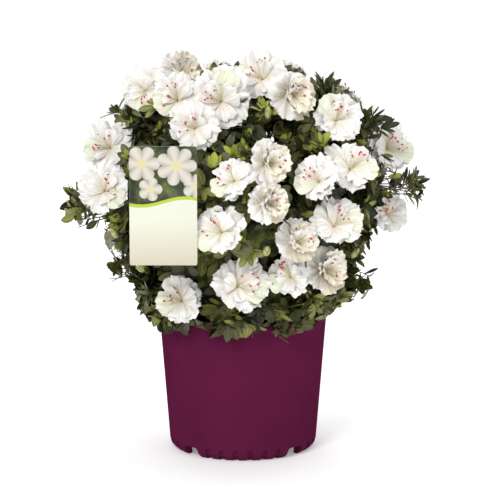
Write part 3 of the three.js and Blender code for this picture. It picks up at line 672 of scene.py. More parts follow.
leafLooks = {  # dark, light, ribs, roughness
    "leafDeep": ((20, 25, 8), (46, 52, 18), (88, 94, 46), 0.36),
    "leafMid": ((49, 55, 18), (88, 92, 37), (138, 142, 76), 0.36),
    "leafLight": ((92, 98, 36), (142, 144, 66), (188, 190, 116), 0.36),
    "leafFresh": ((130, 142, 44), (180, 186, 78), (200, 202, 116), 0.5),
}
petalLooks = {  # face, painted shade in the folds, throat, how strong that painted fold shade and the marks are
    "petalWhite": ((249, 247, 243), (198, 194, 188), (238, 228, 200), 0.55, 0.9),
    "petalGreen": ((234, 236, 216), (200, 208, 174), (226, 226, 196), 0.6, 0.0),
    "petalCream": ((247, 242, 228), (224, 214, 188), (232, 220, 186), 0.5, 1.0),
    # a darker taupe copy of the white petal, used as painted shade on one side of cupped blooms
    "petalPaintedShade": ((226, 217, 198), (194, 180, 156), (196, 180, 150), 0.5, 0.0),
}
mottledLooks = {  # face, patches, their scale and amount, the relief's scale, strength and depth, roughness
    "bark": ((104, 84, 66), (66, 52, 40), 60.0, 0.8, 260.0, 0.8, 0.0012, 0.85),
    "twigBark": ((92, 78, 52), (70, 74, 40), 90.0, 0.8, 400.0, 0.4, 0.0005, 0.7),
    "filament": ((238, 228, 205), (222, 206, 170), 200.0, 0.6, 600.0, 0.2, 0.0002, 0.5),
    "anther": ((210, 58, 32), (160, 34, 20), 300.0, 0.7, 900.0, 0.5, 0.0003, 0.55),
    "pollenTip": ((112, 84, 46), (78, 58, 36), 300.0, 0.7, 900.0, 0.5, 0.0003, 0.6),
    "bud": ((188, 194, 138), (140, 128, 84), 160.0, 0.8, 500.0, 0.3, 0.0004, 0.5),
    "soil": ((64, 47, 34), (34, 25, 18), 70.0, 0.9, 320.0, 1.0, 0.002, 0.95),
    "chip": ((112, 84, 58), (62, 44, 30), 90.0, 0.8, 420.0, 0.6, 0.001, 0.85),
    "tagPlastic": ((244, 242, 232), (232, 228, 214), 40.0, 0.5, 700.0, 0.15, 0.0002, 0.4),
}
finishes = {}
for makeFinish, looks in ((leafFinish, leafLooks), (petalFinish, petalLooks), (mottledFinish, mottledLooks)):
    for name, values in looks.items():
        finishes[name] = makeFinish(name, *values)
print("finishes:", len(finishes))

potValues = {"height": 224, "rim": 135, "rimDepth": 13, "wallTop": 131.5, "wallFoot": 115.5, "foot": 105, "ring": 7,
             "rounding": 9, "wall": 2.2, "floor": 24, "feet": 4, "archAngle": 15, "archHeight": 16, "flutes": 6,
             "fluteWidth": 8.5, "fluteTop": 18, "fluteDepth": 2.2, "sides": 32, "smoothSides": 192, "lip": 3.2}
footProfile = [(105, 0), (107.2, 0.9), (111.6, 4.2), (114.6, 8.2), (115.8, 13), (116.4, 20)]


def wallRadius(height):
    v = potValues
    return mix(v["wallFoot"], v["wallTop"], (height - v["rounding"]) / (v["height"] - v["rimDepth"] - v["rounding"]))


def innerRadius(height):
    return wallRadius(height) - potValues["wall"]


def fluteFloor(height):
    # a groove keeps its depth under the wall, and is deeper at its foot
    depth = potValues["fluteDepth"] + 0.8 + 2.6 * max(0, 1 - height / 8)
    return np.interp(height, [z for r, z in footProfile], [r for r, z in footProfile]) - depth


def roundTopCutter(name, half, low, high, shoulder, near, azimuth, floorAt=None):
    # an upright bar with a rounded top that points out from the axis
    far = potValues["rim"]

    def isTop(a, b):
        return min(a.z, b.z) > (high - 0.01) * millimetre and abs(a.y - b.y) < 1e-6

    bar = roundedBox(name, (far - near, 2 * half, high - low), ((near + far) / 2, 0, (low + high) / 2), isTop,
                     shoulder, 5)
    if floorAt:
        # cut across at the profile's heights, so that its inner face follows the wall
        for radius, height in footProfile[1:5]:
            bpy.ops.mesh.select_all(action="SELECT")
            bpy.ops.mesh.bisect(plane_co=(0, 0, height * millimetre), plane_no=(0, 0, 1))
        bpy.ops.object.mode_set(mode="OBJECT")
        for vertex in bar.data.vertices:
            if vertex.co.x < (near + 1) * millimetre:
                vertex.co.x = floorAt(vertex.co.z / millimetre) * millimetre
    bpy.ops.object.mode_set(mode="OBJECT")
    bar.rotation_euler = (0, 0, math.radians(azimuth))
    return atOrigin(bar, name)


def cutAway(piece, cutters):
    for cutter in cutters:
        modifier = piece.modifiers.new("cut", "BOOLEAN")
        modifier.operation = "DIFFERENCE"
        modifier.solver = "EXACT"
        modifier.object = cutter
    applyAll(piece)
    for cutter in cutters:
        bpy.data.objects.remove(cutter)


def makePot():
    v = potValues
    rim, lip, floor = v["rim"], v["lip"], v["floor"]
    profile = footProfile + [
        (wallRadius(60), 60), (wallRadius(130), 130), (wallRadius(196), 196), (wallRadius(209), 209.5),
        (v["wallTop"] + 0.8, 211), (rim - 0.9, 211.3), (rim - 0.1, 212.4), (rim, 214.2), (rim - 0.2, 218.2),
        (rim, 220.4), (rim - 0.35, 222.4), (rim - lip * 0.45, 223.7), (rim - lip, 224),
        (innerRadius(224) + 1.2, 223.6), (innerRadius(224) + 0.3, 222.2), (innerRadius(210), 210),
        (innerRadius(120), 120), (innerRadius(floor), floor), (30, floor),
    ]
    piece = turnedPiece("potWall", profile, v["smoothSides"])
    # the foot ring: its underside goes in and up to the floor
    pickFaces(piece, lambda middle, normal: normal.z < -0.9 and middle.z < 1e-5)
    for half in range(2):
        bpy.ops.mesh.inset(thickness=v["ring"] * millimetre * 0.5)
    ring = (v["foot"] - v["ring"]) / v["foot"]
    raiseFaces(floor - v["wall"], 1 + 2 / (v["foot"] * ring), 0)
    bpy.ops.object.mode_set(mode="OBJECT")
    cutters = []
    archHalf = v["wallFoot"] * math.sin(math.radians(v["archAngle"] / 2))
    fluteHalf = v["fluteWidth"] / 2
    for foot in range(v["feet"]):
        footAngle = -90 + foot * 360 / v["feet"]
        cutters.append(roundTopCutter("arch", archHalf, -4, v["archHeight"], 6, v["foot"] - v["ring"] - 8,
                                      footAngle + 180 / v["feet"]))
        for flute in range(v["flutes"]):
            offset = (flute - (v["flutes"] - 1) / 2) * 360 / v["sides"]
            cutters.append(roundTopCutter("flute", fluteHalf, -2, v["fluteTop"], fluteHalf - 0.2, v["foot"] - 5,
                                          footAngle + offset, fluteFloor))
    cutAway(piece, cutters)
    soften(piece, 0.5, 38)
    weld(piece, 2e-6)
    smooth(piece, 32)
    return piece


def potFinish():
    made, tree, shader = material("potPlastic", {"Roughness": 0.42, "IOR": 1.18, "Specular IOR Level": 0.0})
    place = objectPlace(tree)
    patch = mottled(tree, colour(91, 28, 61), colour(81, 24, 53), 9.0, 0.7, 900.0)
    # scuffs round the foot, and a patchy gloss
    foot = ranged(tree, axes(tree, place)["Z"], 0.0, 0.03, 1.0, 0.0)
    scratch = node(tree, "Mapping", {"Vector": place, "Scale": (1.0, 1.0, 9.0)}).outputs[0]
    thin = ranged(tree, noise(tree, scratch, 160.0, 4.0), 0.58, 0.72)
    scuff = times(tree, times(tree, thin, foot), 0.5)
    tree.links.new(mixed(tree, scuff, patch["Colour"], colour(126, 72, 98)), shader["Base Color"])
    tree.links.new(ranged(tree, patch["Mask"], 0.0, 1.0, 0.38, 0.5), shader["Roughness"])
    bump(tree, shader, patch["Height"], 0.25, 0.0004)
    return made


potWall = makePot()
potWall.data.materials.clear()
potWall.data.materials.append(potFinish())
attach(potWall, "root")
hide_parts("pot")
print("pot:", len(potWall.data.polygons), "faces")

soilValues = {"surface": 201, "edge": 196, "flat": 45, "trunkRoom": 22, "sides": 96, "lumps": 0.9, "chips": 420,
              "chipSize": (1.6, 4.6), "seed": 5}


def makeSoil():
    v = soilValues
    edge = v["edge"]
    rings = [(innerRadius(height) - 0.5, height) for height in (25, 120, edge - 1)]
    rings.append((innerRadius(edge) - 0.5 - 2, edge))
    rings += [(radius, mix(edge, v["surface"], (118 - radius) / 76)) for radius in range(112, 40, -8)]
    rings += [(radius, v["surface"]) for radius in range(40, 0, -8)]
    piece = turnedPiece("soilBed", rings, v["sides"])
    # lumps, except where the trunk stands
    for vertex in piece.data.vertices:
        x, y, z = vertex.co / millimetre
        away = math.hypot(x, y)
        if z > edge - 0.5 and away > v["trunkRoom"]:
            lump = math.sin(x * 0.21 + 1.3) * math.sin(y * 0.24) + 0.6 * math.sin(x * 0.53 + y * 0.41)
            vertex.co.z += lump * v["lumps"] * millimetre * min(1, (away - v["trunkRoom"]) / 20) - 0.6 * millimetre
    smooth(piece, 60)
    piece.data.materials.append(finishes["soil"])
    return piece


def makeChips():
    # flat splinters of bark, each with its own size and turn
    v = soilValues
    deselect()
    bpy.ops.mesh.primitive_cylinder_add(vertices=6, radius=1, depth=0.5)
    pattern = atOrigin(bpy.context.object, "chipPattern")
    bpy.ops.object.mode_set(mode="EDIT")
    bpy.ops.mesh.select_all(action="SELECT")
    bpy.ops.transform.resize(value=(1.5, 0.8, 1))
    pickFaces(pattern, lambda middle, normal: normal.z > 0.9)
    bpy.ops.transform.resize(value=(0.8, 0.85, 1))
    bpy.ops.object.mode_set(mode="OBJECT")
    corners, outlines = patternOf(pattern)
    faces = []
    for ids in outlines:
        faces += [[ids[0], ids[i], ids[i + 1]] for i in range(1, len(ids) - 1)] if len(ids) > 4 else [ids]
    chipDice = np.random.default_rng(v["seed"])
    n = v["chips"]
    away = np.sqrt(chipDice.uniform(26 ** 2, 122 ** 2, n))
    turn = chipDice.uniform(0, 2 * math.pi, n)
    size = chipDice.uniform(*v["chipSize"], n)
    high = np.where(away < v["flat"], v["surface"], v["surface"] - (away - v["flat"]) / 80 * 5) + 0.5
    spin = chipDice.uniform(0, 2 * math.pi, n)
    tilt = chipDice.normal(0, 0.3, (n, 2))
    xAxis = np.stack([np.cos(spin), np.sin(spin), tilt[:, 0]], 1)
    yAxis = np.stack([-np.sin(spin), np.cos(spin), tilt[:, 1]], 1)
    zAxis = np.cross(xAxis, yAxis)
    local = (corners[None, :, 0:1] * xAxis[:, None] + corners[None, :, 1:2] * yAxis[:, None]
             + corners[None, :, 2:3] * zAxis[:, None] * 0.8)
    places = np.stack([away * np.cos(turn), away * np.sin(turn), high], 1)
    heap = newHeap()
    pour(heap, places[:, None] + local * size[:, None, None], faces, np.zeros((len(corners), 2)),
         chipDice.random(n))
    piece = meshFrom(heap, "barkChips", [finishes["chip"]])
    piece.data.polygons.foreach_set("use_smooth", np.zeros(len(piece.data.polygons), bool))
    return piece


soilBed = makeSoil()
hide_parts("potting_soil")
barkChips = makeChips()
for piece in (soilBed, barkChips):
    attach(piece, "root")
print("potting mix ready")

barkValues = {"steps": 46, "ridge": 0.5, "middles": 160}


def limbCurve(curve, sides):
    # a bezier curve with a round bevel, made a mesh
    deselect()
    bpy.ops.curve.primitive_bezier_curve_add()
    line = bpy.context.object
    a, b, c = (Vector(p * millimetre) for p in curve)
    handles = ((a, a + (a - b) * 2 / 3, a + (b - a) * 2 / 3), (c, c + (b - c) * 2 / 3, c + (c - b) * 2 / 3))
    for knot, (place, before, after) in zip(line.data.splines[0].bezier_points, handles):
        knot.handle_left_type = knot.handle_right_type = "FREE"
        knot.co, knot.handle_left, knot.handle_right = place, before, after
    line.data.dimensions = "3D"
    line.data.resolution_u = barkValues["steps"]
    line.data.bevel_depth = millimetre
    line.data.bevel_resolution = sides // 4
    line.data.use_fill_caps = True
    bpy.ops.object.convert(target="MESH")
    return bpy.context.object


def limbPiece(name, limbs):
    # the limbs' skins are moved out to their thickness, with the bark's ridges in it
    parts = []
    count = barkValues["middles"]
    for index, (curve, radiusAt, sides) in enumerate(limbs):
        part = limbCurve(curve, sides)
        middles = np.array([onCurve(curve, share) for share in np.linspace(0, 1, count)])
        for vertex in part.data.vertices:
            co = np.array(vertex.co) / millimetre
            nearest = int(np.argmin(((middles - co) ** 2).sum(1)))
            out = co - middles[nearest]
            twist = math.atan2(out[1], out[0] + 1e-9)
            ridge = math.sin(twist * 5 + co[2] * 0.09 + index) * 0.5 + math.sin(twist * 9 - co[2] * 0.21) * 0.35
            ridge += math.sin(co[2] * 0.55 + twist * 2) * 0.25
            knobs = max(0, math.sin(co[2] * 0.12 + index * 2)) ** 6 * 0.8
            size = radiusAt(nearest / (count - 1)) * (1 + barkValues["ridge"] * 0.12 * ridge + 0.08 * knobs)
            length = np.linalg.norm(out)
            if length > 0.05:
                vertex.co = Vector((middles[nearest] + out / length * size) * millimetre)
        parts.append(part)
    deselect()
    for part in parts:
        part.select_set(True)
    bpy.context.view_layer.objects.active = parts[0]
    if len(parts) > 1:
        bpy.ops.object.join()
    piece = atOrigin(bpy.context.object, name)
    weld(piece)
    smooth(piece, 60)
    piece.data.materials.clear()
    piece.data.materials.append(finishes["bark"])
    return piece


def trunkRadius(share):
    return trunkShape["neck"] + trunkShape["flare"] * (1 - share) ** 4 + trunkShape["swelling"] * share ** 3


def taper(thick):
    return lambda share: mix(thick[0], thick[1], share)


trunkBark = limbPiece("trunkBark", [(trunkCurve, trunkRadius, 24)])
mainBark = limbPiece("mainBoughBark", [(main["curve"], taper(mainShape["thick"]), 12) for main in mains])
boughBark = limbPiece("boughBark", [(mass["bough"], taper(boughShape["thick"]), 8) for mass in masses])
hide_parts("trunk")
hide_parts(*[f"main_bough_{i + 1}" for i in range(len(mains))])
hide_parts(*[f"bough_{mass['name']}" for mass in masses])
for piece in (trunkBark, mainBark, boughBark):
    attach(piece, "root")
print("trunk and boughs ready")

# gaps are seen through from the viewpoint: across, height, radius; the underside is an arch over the pot
viewpoint = point(11, -3900, 1040)
leafValues = {
    "places": 1500,
    "deepest": 0.56,
    "outermost": 0.9,
    "lumps": 0.16,
    "lowestRise": -62,
    "inner": 420,
    "innermost": 0.3,
    "longestTwig": 95,
    "perWhorl": (5, 8),
    "length": (22, 36),
    "lean": (42, 82),
    "alongTwig": 3,
    "freshShare": 0.2,
    "freshTips": [(267, 23), (259, 19), (256, 26), (282, -26), (304, 26), (293, 15), (268, -8), (218, 42),
                  (242, 35), (281, 44)],
    "buds": [(321, -17), (220, -24), (214, -9), (287, 79), (282, 40), (279, -12)],
    "gaps": [(45, 493, 14), (40, 502, 8), (70, 470, 7), (200, 452, 9), (228, 430, 7), (222, 419, 7),
             (254, 407, 7), (239, 414, 6), (214, 470, 9), (-30, 488, 7), (96, 452, 7), (-186, 417, 8),
             (-200, 382, 8)],
    "undersideAside": [-230, -220, -205, -187, -170, -164, -137, -100, 100, 126, 138, 151, 165, 200, 212, 226],
    "undersideHeight": [345, 320, 284, 264, 238, 204, 186, 176, 176, 186, 212, 224, 226, 228, 280, 326],
    "seed": 11,
}
# whorls that hang over the pot's rim, and shoots that stand out of the outline
skirtValues = {"count": 190, "rise": (-52, -36), "share": (0.84, 0.97), "loose": 0.04, "hang": -0.3}
sprayValues = {
    "twigs": 4,
    "scatter": point(30, 46, 28),
    "slender": 0.62,
    "tips": [(-264, -30, 394), (-252, -70, 374), (-236, -90, 406), (128, -70, 573), (198, -70, 532),
             (-180, -50, 530), (-160, -70, 222), (-204, -50, 272), (-190, -70, 300), (187, -50, 276),
             (266, -60, 426), (262, -60, 416), (-16, -50, 592), (232, 70, 350), (60, 190, 560), (-150, 200, 330),
             (150, 210, 420)],
}
# how far along a leaf, and half its width there
leafRows = [(0, 0.035), (0.14, 0.1), (0.34, 0.2), (0.58, 0.24), (0.8, 0.185), (0.94, 0.085), (1, 0.006)]


def leafPattern(fold, curl):
    # a grid of three columns, four times as long as wide, drawn in to the outline of a leaf row by row
    deselect()
    count = len(leafRows)
    bpy.ops.mesh.primitive_grid_add(x_subdivisions=2, y_subdivisions=count - 1, size=1)
    piece = atOrigin(bpy.context.object, "leafPattern")
    for row, (along, half) in enumerate(leafRows):
        height = -0.5 + row / (count - 1)
        pickVertices(piece, lambda co: abs(co.y - height) < 1e-3 and abs(co.z) < 1e-6)
        bpy.ops.transform.resize(value=(max(half, 0.001) * 2, 1, 1), center_override=(0, height, 0))
        bpy.ops.transform.translate(value=(0, along * 4 + 2 - height, -curl * along ** 2))
    pickVertices(piece, lambda co: abs(co.x) < 1e-5)
    bpy.ops.transform.translate(value=(0, 0, -fold))
    bpy.ops.object.mode_set(mode="OBJECT")
    points, faces = patternOf(piece)
    points[:, 1] = (points[:, 1] - 2) / 4
    widths = np.interp(points[:, 1], [row[0] for row in leafRows], [max(row[1], 0.001) for row in leafRows])
    return points, faces, np.stack([points[:, 0] / widths / 2 + 0.5, points[:, 1]], 1)


leafPatterns = [leafPattern(fold, curl) for fold, curl in ((0.035, 0.10), (0.06, -0.06), (0.02, 0.24))]


def placeLeaves(heap, which, roots, directions, normals, lengths, tones, widths=1.0):
    directions = directions / np.linalg.norm(directions, axis=1, keepdims=True)
    side = np.cross(directions, normals)
    side /= np.linalg.norm(side, axis=1, keepdims=True) + 1e-9
    normal = np.cross(side, directions)
    widths = np.broadcast_to(widths, lengths.shape)
    for kind, (points, faces, uvs) in enumerate(leafPatterns):
        chosen = which == kind
        if not chosen.any():
            continue
        x = points[None, :, 0:1] * side[chosen][:, None] * (lengths * widths)[chosen][:, None, None]
        y = points[None, :, 1:2] * directions[chosen][:, None] * lengths[chosen][:, None, None]
        z = points[None, :, 2:3] * normal[chosen][:, None] * lengths[chosen][:, None, None]
        pour(heap, roots[chosen][:, None] + x + y + z, faces, uvs, tones[chosen])


def twigTo(start, end, direction):
    run = np.linalg.norm(end - start)
    return (start, end - direction * run * twigShape["arrival"], end)


def whorlDirection(p, rise):
    direction = outwardAt(p)
    if rise < 0:
        direction[2] *= whorlSpread["flattening"]
    return unit(direction + point(0, 0, whorlSpread["upturn"]))


def longShoot(way, reach, aside, height):
    # its tip, where its whorl is and the way it points
    tip = polar(way, reach, height) + polar(way + 90, aside, 0)
    return tip, tip - polar(way, 24, 0), polar(way, 1, 0)


dice = np.random.default_rng(leafValues["seed"])
twigHeap = newHeap()
coarse = [[] for mass in masses]
shares = np.linspace(0, 1, 8)
stemPaths = np.array([[onCurve(mass["stem"], share) for share in shares] for mass in masses])
tubes(twigHeap, stemPaths, np.linspace(*stemShape["thick"], 8), 6, 0.3)


def growTwig(massIndex, key, end, direction):
    wanted = twigShape["wanted"] - twigShape["swing"] * chance(masses[massIndex]["key"], key, 9)
    coarse[massIndex].append(twigTo(onCurve(masses[massIndex]["stem"], wanted), end, direction))


for bloom in blooms:
    neck = bloom["heart"] + bloom["look"] * bloomShape["neck"] * bloom["radius"]
    growTwig(bloom["mass"], bloom["key"], neck, bloom["look"])
for shoot in longShoots:
    tip, end, way = longShoot(*shoot)
    growTwig(ownerOf(tip), 300 + shoot[0], end, way)
for i in range(whorlSpread["count"]):
    rise = evenRise(i, whorlSpread["count"])
    share = mix(whorlSpread["deepest"], whorlSpread["outermost"], math.sqrt(chance(i, 5, 4)))
    p = canopyPoint(i * goldenAngle, rise, share)
    near = any(np.linalg.norm(bloom["place"] - p) < bloom["radius"] + whorlSpread["clear"] for bloom in blooms)
    if rise >= whorlSpread["lowestRise"] and not near:
        growTwig(ownerOf(p), i + 1, p, whorlDirection(p, rise))
coarsePaths = np.array([[onCurve(twig, share) for share in shares] for twigs in coarse for twig in twigs])
tubes(twigHeap, coarsePaths, np.linspace(*twigShape["thick"], 8), 5, 0.5)


def lumpAt(azimuth, rise):
    turn = math.radians(azimuth)
    return 0.5 + 0.28 * math.sin(3 * turn + 1 + 0.05 * rise) + 0.22 * math.sin(7 * turn - 0.11 * rise)


def finePlaces(count, deepest, outermost, keyBase):
    made = []
    for i in range(count):
        rise = evenRise(i, count)
        if rise < leafValues["lowestRise"]:
            continue
        outer = outermost + leafValues["lumps"] * (lumpAt(i * goldenAngle, rise) - 0.6)
        p = canopyPoint(i * goldenAngle, rise, mix(deepest, outer, math.sqrt(chance(i, 5, keyBase))))
        made.append((p, whorlDirection(p, rise)))
    return made


def growFine(places, keyBase):
    # each fine twig leaves the nearest coarse twig of its mass and ends in a whorl
    grown = []
    for i, (p, direction) in enumerate(places):
        twigs = coarse[ownerOf(p)]
        tips = np.array([twig[2] for twig in twigs])
        parent = twigs[int(np.argmin(np.linalg.norm(tips - p, axis=1)))]
        start = onCurve(parent, mix(0.35, 0.88, chance(i, 7, keyBase)))
        sideways = np.array([chance(i, k, keyBase) for k in (8, 9, 10)]) - 0.5
        way = unit(direction + sideways * 0.9)
        run = np.linalg.norm(p - start)
        if run > leafValues["longestTwig"]:
            start = p + (start - p) * leafValues["longestTwig"] / run
        twig = twigTo(start, p, way)
        grown.append((p, way, [onCurve(twig, s) for s in np.linspace(0, 1, 6)]))
    return [np.array(column) for column in zip(*grown)]


def isFree(points, potMargin=2.5):
    return ~(insideBlooms(points, 1) | overPot(points, potMargin) | nearTag(points))


def only(grown, good):
    return [column[good] for column in grown]


outerPlaces = finePlaces(leafValues["places"], leafValues["deepest"], leafValues["outermost"], 21)
for azimuth, rise in leafValues["freshTips"]:
    p = canopyPoint(azimuth, rise, 0.95)
    outerPlaces.append((p, whorlDirection(p, rise)))
outer = growFine(outerPlaces, 21)
ends, ways, paths = only(outer, isFree(outer[0]) & (reachOf(outer[0]) < 1))
inner = growFine(finePlaces(leafValues["inner"], leafValues["innermost"], leafValues["deepest"], 22), 22)
innerEnds, innerWays, innerPaths = only(inner, ~overPot(inner[0], 6))
for shoot in longShoots:
    tip, end, way = longShoot(*shoot)
    ends = np.concatenate([ends, [end]])
    ways = np.concatenate([ways, [way]])
skirtPlaces = []
for i in range(skirtValues["count"]):
    rise = mix(*skirtValues["rise"], chance(i, 1, 31))
    share = mix(*skirtValues["share"], abs(math.sin(math.radians(i * goldenAngle))))
    p = canopyPoint(i * goldenAngle, rise, share + skirtValues["loose"] * chance(i, 2, 31))
    skirtPlaces.append((p, unit(outwardAt(p) * point(1, 1, 0.3) + point(0, 0, skirtValues["hang"]))))
skirt = growFine(skirtPlaces, 31)
skirtEnds, skirtWays, skirtPaths = only(skirt, isFree(skirt[0], 1))
sprayPlaces = []
for key, tip in enumerate(sprayValues["tips"]):
    for k in range(sprayValues["twigs"]):
        aside = np.array([chance(key, k, 41), chance(key, k, 42), chance(key, k, 43)]) - 0.5
        p = point(*tip) + aside * sprayValues["scatter"] * (1 if k else 0)
        sprayPlaces.append((p, unit(outwardAt(p) + aside * 0.8)))
sprayEnds, sprayWays, sprayPaths = growFine(sprayPlaces, 41)
for twigPaths, thickest, tone in ((paths, 0.95, 0.7), (skirtPaths, 0.95, 0.7), (sprayPaths, 1.1, 0.7),
                                  (innerPaths, 0.95, 0.4)):
    tubes(twigHeap, twigPaths, np.linspace(thickest, 0.6, 6), 4, tone)


def leafRow(root, way, radial, leaning, size, whorl):
    cosine, sine = math.cos(leaning), math.sin(leaning)
    return root, way * cosine + radial * sine, way * sine - radial * cosine, size, whorl


def whorlLeaves(ends, ways, lengths, leanRange, counts):
    rows = []
    for whorl, (end, way) in enumerate(zip(ends, ways)):
        count = int(dice.integers(counts[0], counts[1] + 1))
        first = dice.uniform(0, 360)
        for k in range(count):
            radial = around(way, first + k * 360 / count + dice.uniform(-14, 14))
            leaning = math.radians(dice.uniform(*leanRange))
            root = end + radial * 1.2 - way * dice.uniform(0, 4)
            size = dice.uniform(*lengths) * (0.75 + 0.25 * math.sin(k * 2.4) ** 2)
            rows.append(leafRow(root, way, radial, leaning, size, whorl))
    return [np.array(column) for column in zip(*rows)]


def twigLeaves(paths, count, lengths):
    rows = []
    for whorl, path in enumerate(paths):
        way = unit(path[-1] - path[-3])
        for k in range(count):
            share = 0.9 - k * 0.14 - dice.uniform(0, 0.08)
            at = share * (len(path) - 1)
            low = int(at)
            root = mix(path[low], path[min(low + 1, len(path) - 1)], at - low)
            radial = around(way, whorl * 50 + k * goldenAngle)
            leaning = math.radians(dice.uniform(48, 78))
            rows.append(leafRow(root, way, radial, leaning, dice.uniform(*lengths), whorl))
    return [np.array(column) for column in zip(*rows)]


def inGap(points):
    # small gaps to see through, along the lines from the viewpoint
    across, depth, height = viewpoint
    nearer = depth / (depth - points[:, 1])
    x = across + (points[:, 0] - across) * nearer
    z = height + (points[:, 2] - height) * nearer
    within = np.zeros(len(points), bool)
    for gapX, gapZ, radius in leafValues["gaps"]:
        within |= np.hypot(x - gapX, z - gapZ) < radius
    return within


def tooLow(points):
    low = np.interp(points[:, 0], leafValues["undersideAside"], leafValues["undersideHeight"])
    ragged = 9 * np.sin(points[:, 0] / 15) + 6 * np.sin(points[:, 0] / 6.1 + 1)
    return points[:, 2] < low + ragged + 0.2 * np.abs(points[:, 1])


def leafIsClear(roots, directions, sizes, furthest):
    good = np.ones(len(roots), bool)
    for share in (0.45, 0.75, 1.0):
        points = roots + directions * sizes[:, None] * share
        good &= ~(insideBlooms(points, 0.5) | overPot(points) | nearTag(points) | inGap(points) | tooLow(points))
        good &= reachOf(points) < furthest
    return good


leafHeaps = {name: newHeap() for name in leafLooks}


def pourLeaves(rows, tint, furthest=1.0, widths=1.0):
    # a whorl's leaves are all of one finish, by the shares of the tint
    roots, directions, normals, sizes, whorl = rows
    good = leafIsClear(roots, directions, sizes, furthest)
    picks = dice.random(whorl.max() + 1)[whorl]
    tones = np.clip(dice.normal(0.5, 0.28, len(roots)), 0, 1)
    which = dice.integers(0, len(leafPatterns), len(roots))
    low = 0
    for name, high in zip(tint, np.cumsum(list(tint.values()))):
        chosen = good & (picks >= low) & (picks < high)
        low = high
        if chosen.any():
            placeLeaves(leafHeaps[name], *(column[chosen] for column in (which, roots, directions, normals, sizes)),
                        tones[chosen], widths)


outerTint = {"leafDeep": 0.38, "leafMid": 0.44, "leafLight": 0.18}
twigTint = {"leafDeep": 0.5, "leafMid": 0.4, "leafLight": 0.1}
hangingTint = {"leafDeep": 0.3, "leafMid": 0.5, "leafLight": 0.2}
pourLeaves(whorlLeaves(ends, ways, leafValues["length"], leafValues["lean"], leafValues["perWhorl"]), outerTint)
pourLeaves(twigLeaves(paths, leafValues["alongTwig"], (18, 30)), twigTint)
# the inner whorls, deep in the bush, take mostly the darkest finish: painted shade
pourLeaves(whorlLeaves(innerEnds, innerWays, (26, 38), (40, 88), (5, 7)), {"leafDeep": 0.8, "leafMid": 0.2})
pourLeaves(whorlLeaves(skirtEnds, skirtWays, (26, 38), (30, 84), (5, 7)), hangingTint, 1.2)
pourLeaves(twigLeaves(skirtPaths, 3, (20, 32)), hangingTint, 1.2)
# the new growth on the high right side has slender leaves
slender = (sprayEnds[:, 0] > 120) & (sprayEnds[:, 2] > 380)
for chosen, widths in ((slender, sprayValues["slender"]), (~slender, 1.0)):
    whorls = whorlLeaves(sprayEnds[chosen], sprayWays[chosen], (22, 36), (26, 80), (5, 8))
    pourLeaves(whorls, hangingTint, 1.3, widths)
    pourLeaves(twigLeaves(sprayPaths[chosen], 4, (18, 28)), hangingTint, 1.3, widths)
# bright new leaves stand upright in some whorls, and at the named tips
fresh = dice.random(len(ends)) < leafValues["freshShare"]
for azimuth, rise in leafValues["freshTips"]:
    fresh |= np.linalg.norm(ends - canopyPoint(azimuth, rise, 0.95), axis=1) < 12
pourLeaves(whorlLeaves(ends[fresh] + ways[fresh] * 4, ways[fresh], (12, 23), (10, 36), (4, 6)),
           {"leafFresh": 1.0}, 1.02)
named = np.array([canopyPoint(azimuth, rise, 0.93) for azimuth, rise in leafValues["freshTips"]])
upright = np.array([unit(outwardAt(p) + point(0, 0, 0.9)) for p in named])
pourLeaves(whorlLeaves(named, upright, (17, 27), (14, 60), (6, 8)), {"leafFresh": 1.0}, 1.08)
leafPieces = [meshFrom(heap, "leaves" + name[4:], [finishes[name]]) for name, heap in leafHeaps.items()]

petalNames = list(petalLooks)


def petalGrid():
    # across from -1 to 1, and along from 0 to 1
    nu, nv = petalValues["across"], petalValues["along"]
    u, v = np.meshgrid(np.linspace(-1, 1, nu + 1), np.linspace(0, 1, nv + 1))
    starts = [r * (nu + 1) + c for r in range(nv) for c in range(nu)]
    return u.reshape(-1), v.reshape(-1), [[i, i + 1, i + nu + 2, i + nu + 1] for i in starts]


petalU, petalV, petalFaces = petalGrid()
petalUv = np.stack([petalU * 0.5 + 0.5, petalV], 1)


def petalSheet(bloom, angle, reach, width, rise, frill, curl, own, cup):
    # one petal: a ruffled sheet that widens from the throat, with soft folds along it
    u, v = petalU, petalV
    neck = petalValues["neck"]
    phase = own.uniform(0, 6.28, 8)
    v = v * (1 - 0.17 * np.abs(u) ** 2.4)
    across = np.interp(v, [0, 0.12, 0.3, 0.5, 0.72, 0.9, 1], [0.12, 0.24, 0.5, 0.8, 1, 0.92, 0.66]) * width * u
    away = reach * v ** (1.15 - 0.25 * cup)
    high = neck + (rise - neck) * v ** (0.62 + 0.3 * cup)
    high = high - curl * np.maximum(0, v - 0.6) ** 2 * 2.4
    edge = np.abs(u) ** 1.6
    ruffle = np.sin(u * 5.1 + phase[0]) * 0.5 + np.sin(u * 9.7 + v * 5 + phase[1]) * 0.5
    high = high + frill * 1.4 * v ** 2 * ruffle * (0.4 + 0.6 * v ** 3)
    high = high + frill * 0.8 * edge * v * np.sin(v * 9 + phase[2] + np.sign(u))
    high = high + (0.02 + frill * 0.4) * np.sin(v * 3.14) * np.cos(u * 6.3 + phase[3])
    high = high + 0.08 * edge * v * (0.5 + cup)
    away = away + frill * 0.5 * v ** 6 * (np.sin(u * 7 + phase[4]) + 0.6 * np.sin(u * 18 + phase[5]))
    across = across + frill * 0.3 * u * v * np.sin(v * 13 + phase[6])
    right, other = acrossFrom(bloom["look"])
    turn = math.radians(angle)
    radial = right * math.cos(turn) + other * math.sin(turn)
    side = -right * math.sin(turn) + other * math.cos(turn)
    offsets = np.outer(away, radial) + np.outer(across, side) + np.outer(high, bloom["look"])
    return bloom["heart"] + bloom["petal"] * offsets


whiteHeap, tintedHeap, stamenHeap, sepalHeap = newHeap(), newHeap(), newHeap(), newHeap()
antherPlaces = []


